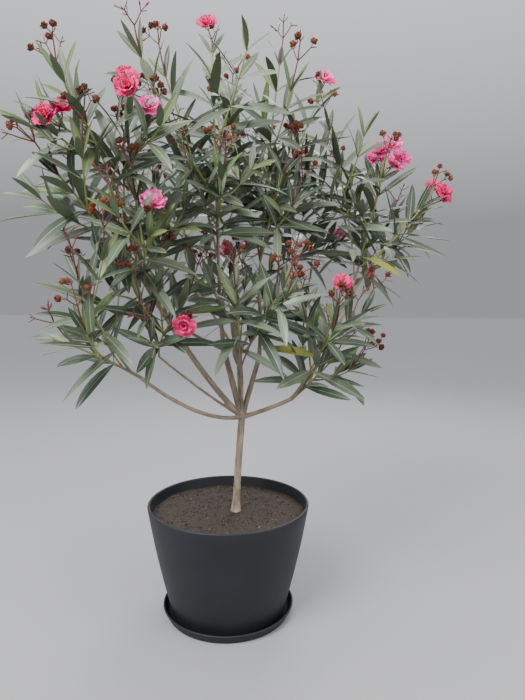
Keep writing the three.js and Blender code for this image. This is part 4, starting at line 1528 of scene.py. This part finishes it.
class OLEANDER_OT_flowers(bpy.types.Operator):
    """Grow the flower heads: stalks, double flowers, dry flowers and buds"""
    bl_idname = "oleander.flowers"
    bl_label = "Flowers"

    def execute(self, context):
        blossom = Blossom()
        for shoot in (*plant().mains, *plant().sides):
            if shoot.head:
                blossom.grow(shoot)
        add_stems("flower_stalks", blossom.stalks, 6, colours().stalk, roughness=0.5)
        petal = petal_mesh("petal", 5, 0.075)
        scrap = petal_mesh("dry_petal", 3, 0.13)
        bud = spindle_mesh("bud", 7, ((0.08, 0.10), (0.35, 0.17), (0.65, 0.14), (0.9, 0.05)))
        stub = spindle_mesh("stub", 5, ((0.1, 0.16), (0.5, 0.24), (0.85, 0.13)))
        for name, shape, kind, colour, roughness in (
                ("flowers_pink", petal, "open", colours().pink, 0.55),
                ("flowers_rose", petal, "rose", colours().rose, 0.55),
                ("flowers_dry", scrap, "dry", colours().seared, 0.8),
                ("flowers_rusty", scrap, "rusty", colours().rusty, 0.8),
                ("flower_buds", bud, "bud", colours().bud, 0.5),
                ("flower_stubs", stub, "stub", colours().stalk, 0.6)):
            finish = finish_of(name, colour, roughness, specular=0.35)
            hand_over(piece_of(name, scattered(name, shape, blossom.places[kind], finish), [finish]))
        return {"FINISHED"}


class OLEANDER_PT_panel(bpy.types.Panel):
    """Lists the steps and the sizes of the plant"""
    bl_idname = "OLEANDER_PT_panel"
    bl_label = "Potted oleander"
    bl_space_type = "VIEW_3D"
    bl_region_type = "UI"
    bl_category = "Oleander"

    def draw(self, context):
        for step in STEPS:
            self.layout.operator(step.bl_idname)
        for group in (context.scene.oleander_sizes, context.scene.oleander_colours):
            for name in group.bl_rna.properties.keys():
                if name not in ("rna_type", "name"):
                    self.layout.prop(group, name)


STEPS = (OLEANDER_OT_stage, OLEANDER_OT_pot, OLEANDER_OT_saucer, OLEANDER_OT_soil, OLEANDER_OT_limbs,
         OLEANDER_OT_shoots, OLEANDER_OT_leaves, OLEANDER_OT_flowers)
CLASSES = (PlantSizes, PlantColours, *STEPS, OLEANDER_PT_panel)


def register():
    for item in CLASSES:
        bpy.utils.register_class(item)
    bpy.types.Scene.oleander_sizes = bpy.props.PointerProperty(type=PlantSizes)
    bpy.types.Scene.oleander_colours = bpy.props.PointerProperty(type=PlantColours)


def unregister():
    del bpy.types.Scene.oleander_colours
    del bpy.types.Scene.oleander_sizes
    for item in reversed(CLASSES):
        bpy.utils.unregister_class(item)


def main():
    register()
    bpy.ops.oleander.stage()
    bpy.ops.oleander.pot()
    bpy.ops.oleander.saucer()
    bpy.ops.oleander.soil()
    bpy.ops.oleander.limbs()
    bpy.ops.oleander.shoots()
    bpy.ops.oleander.leaves()
    bpy.ops.oleander.flowers()
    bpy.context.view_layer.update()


if __name__ == "__main__":
    main()
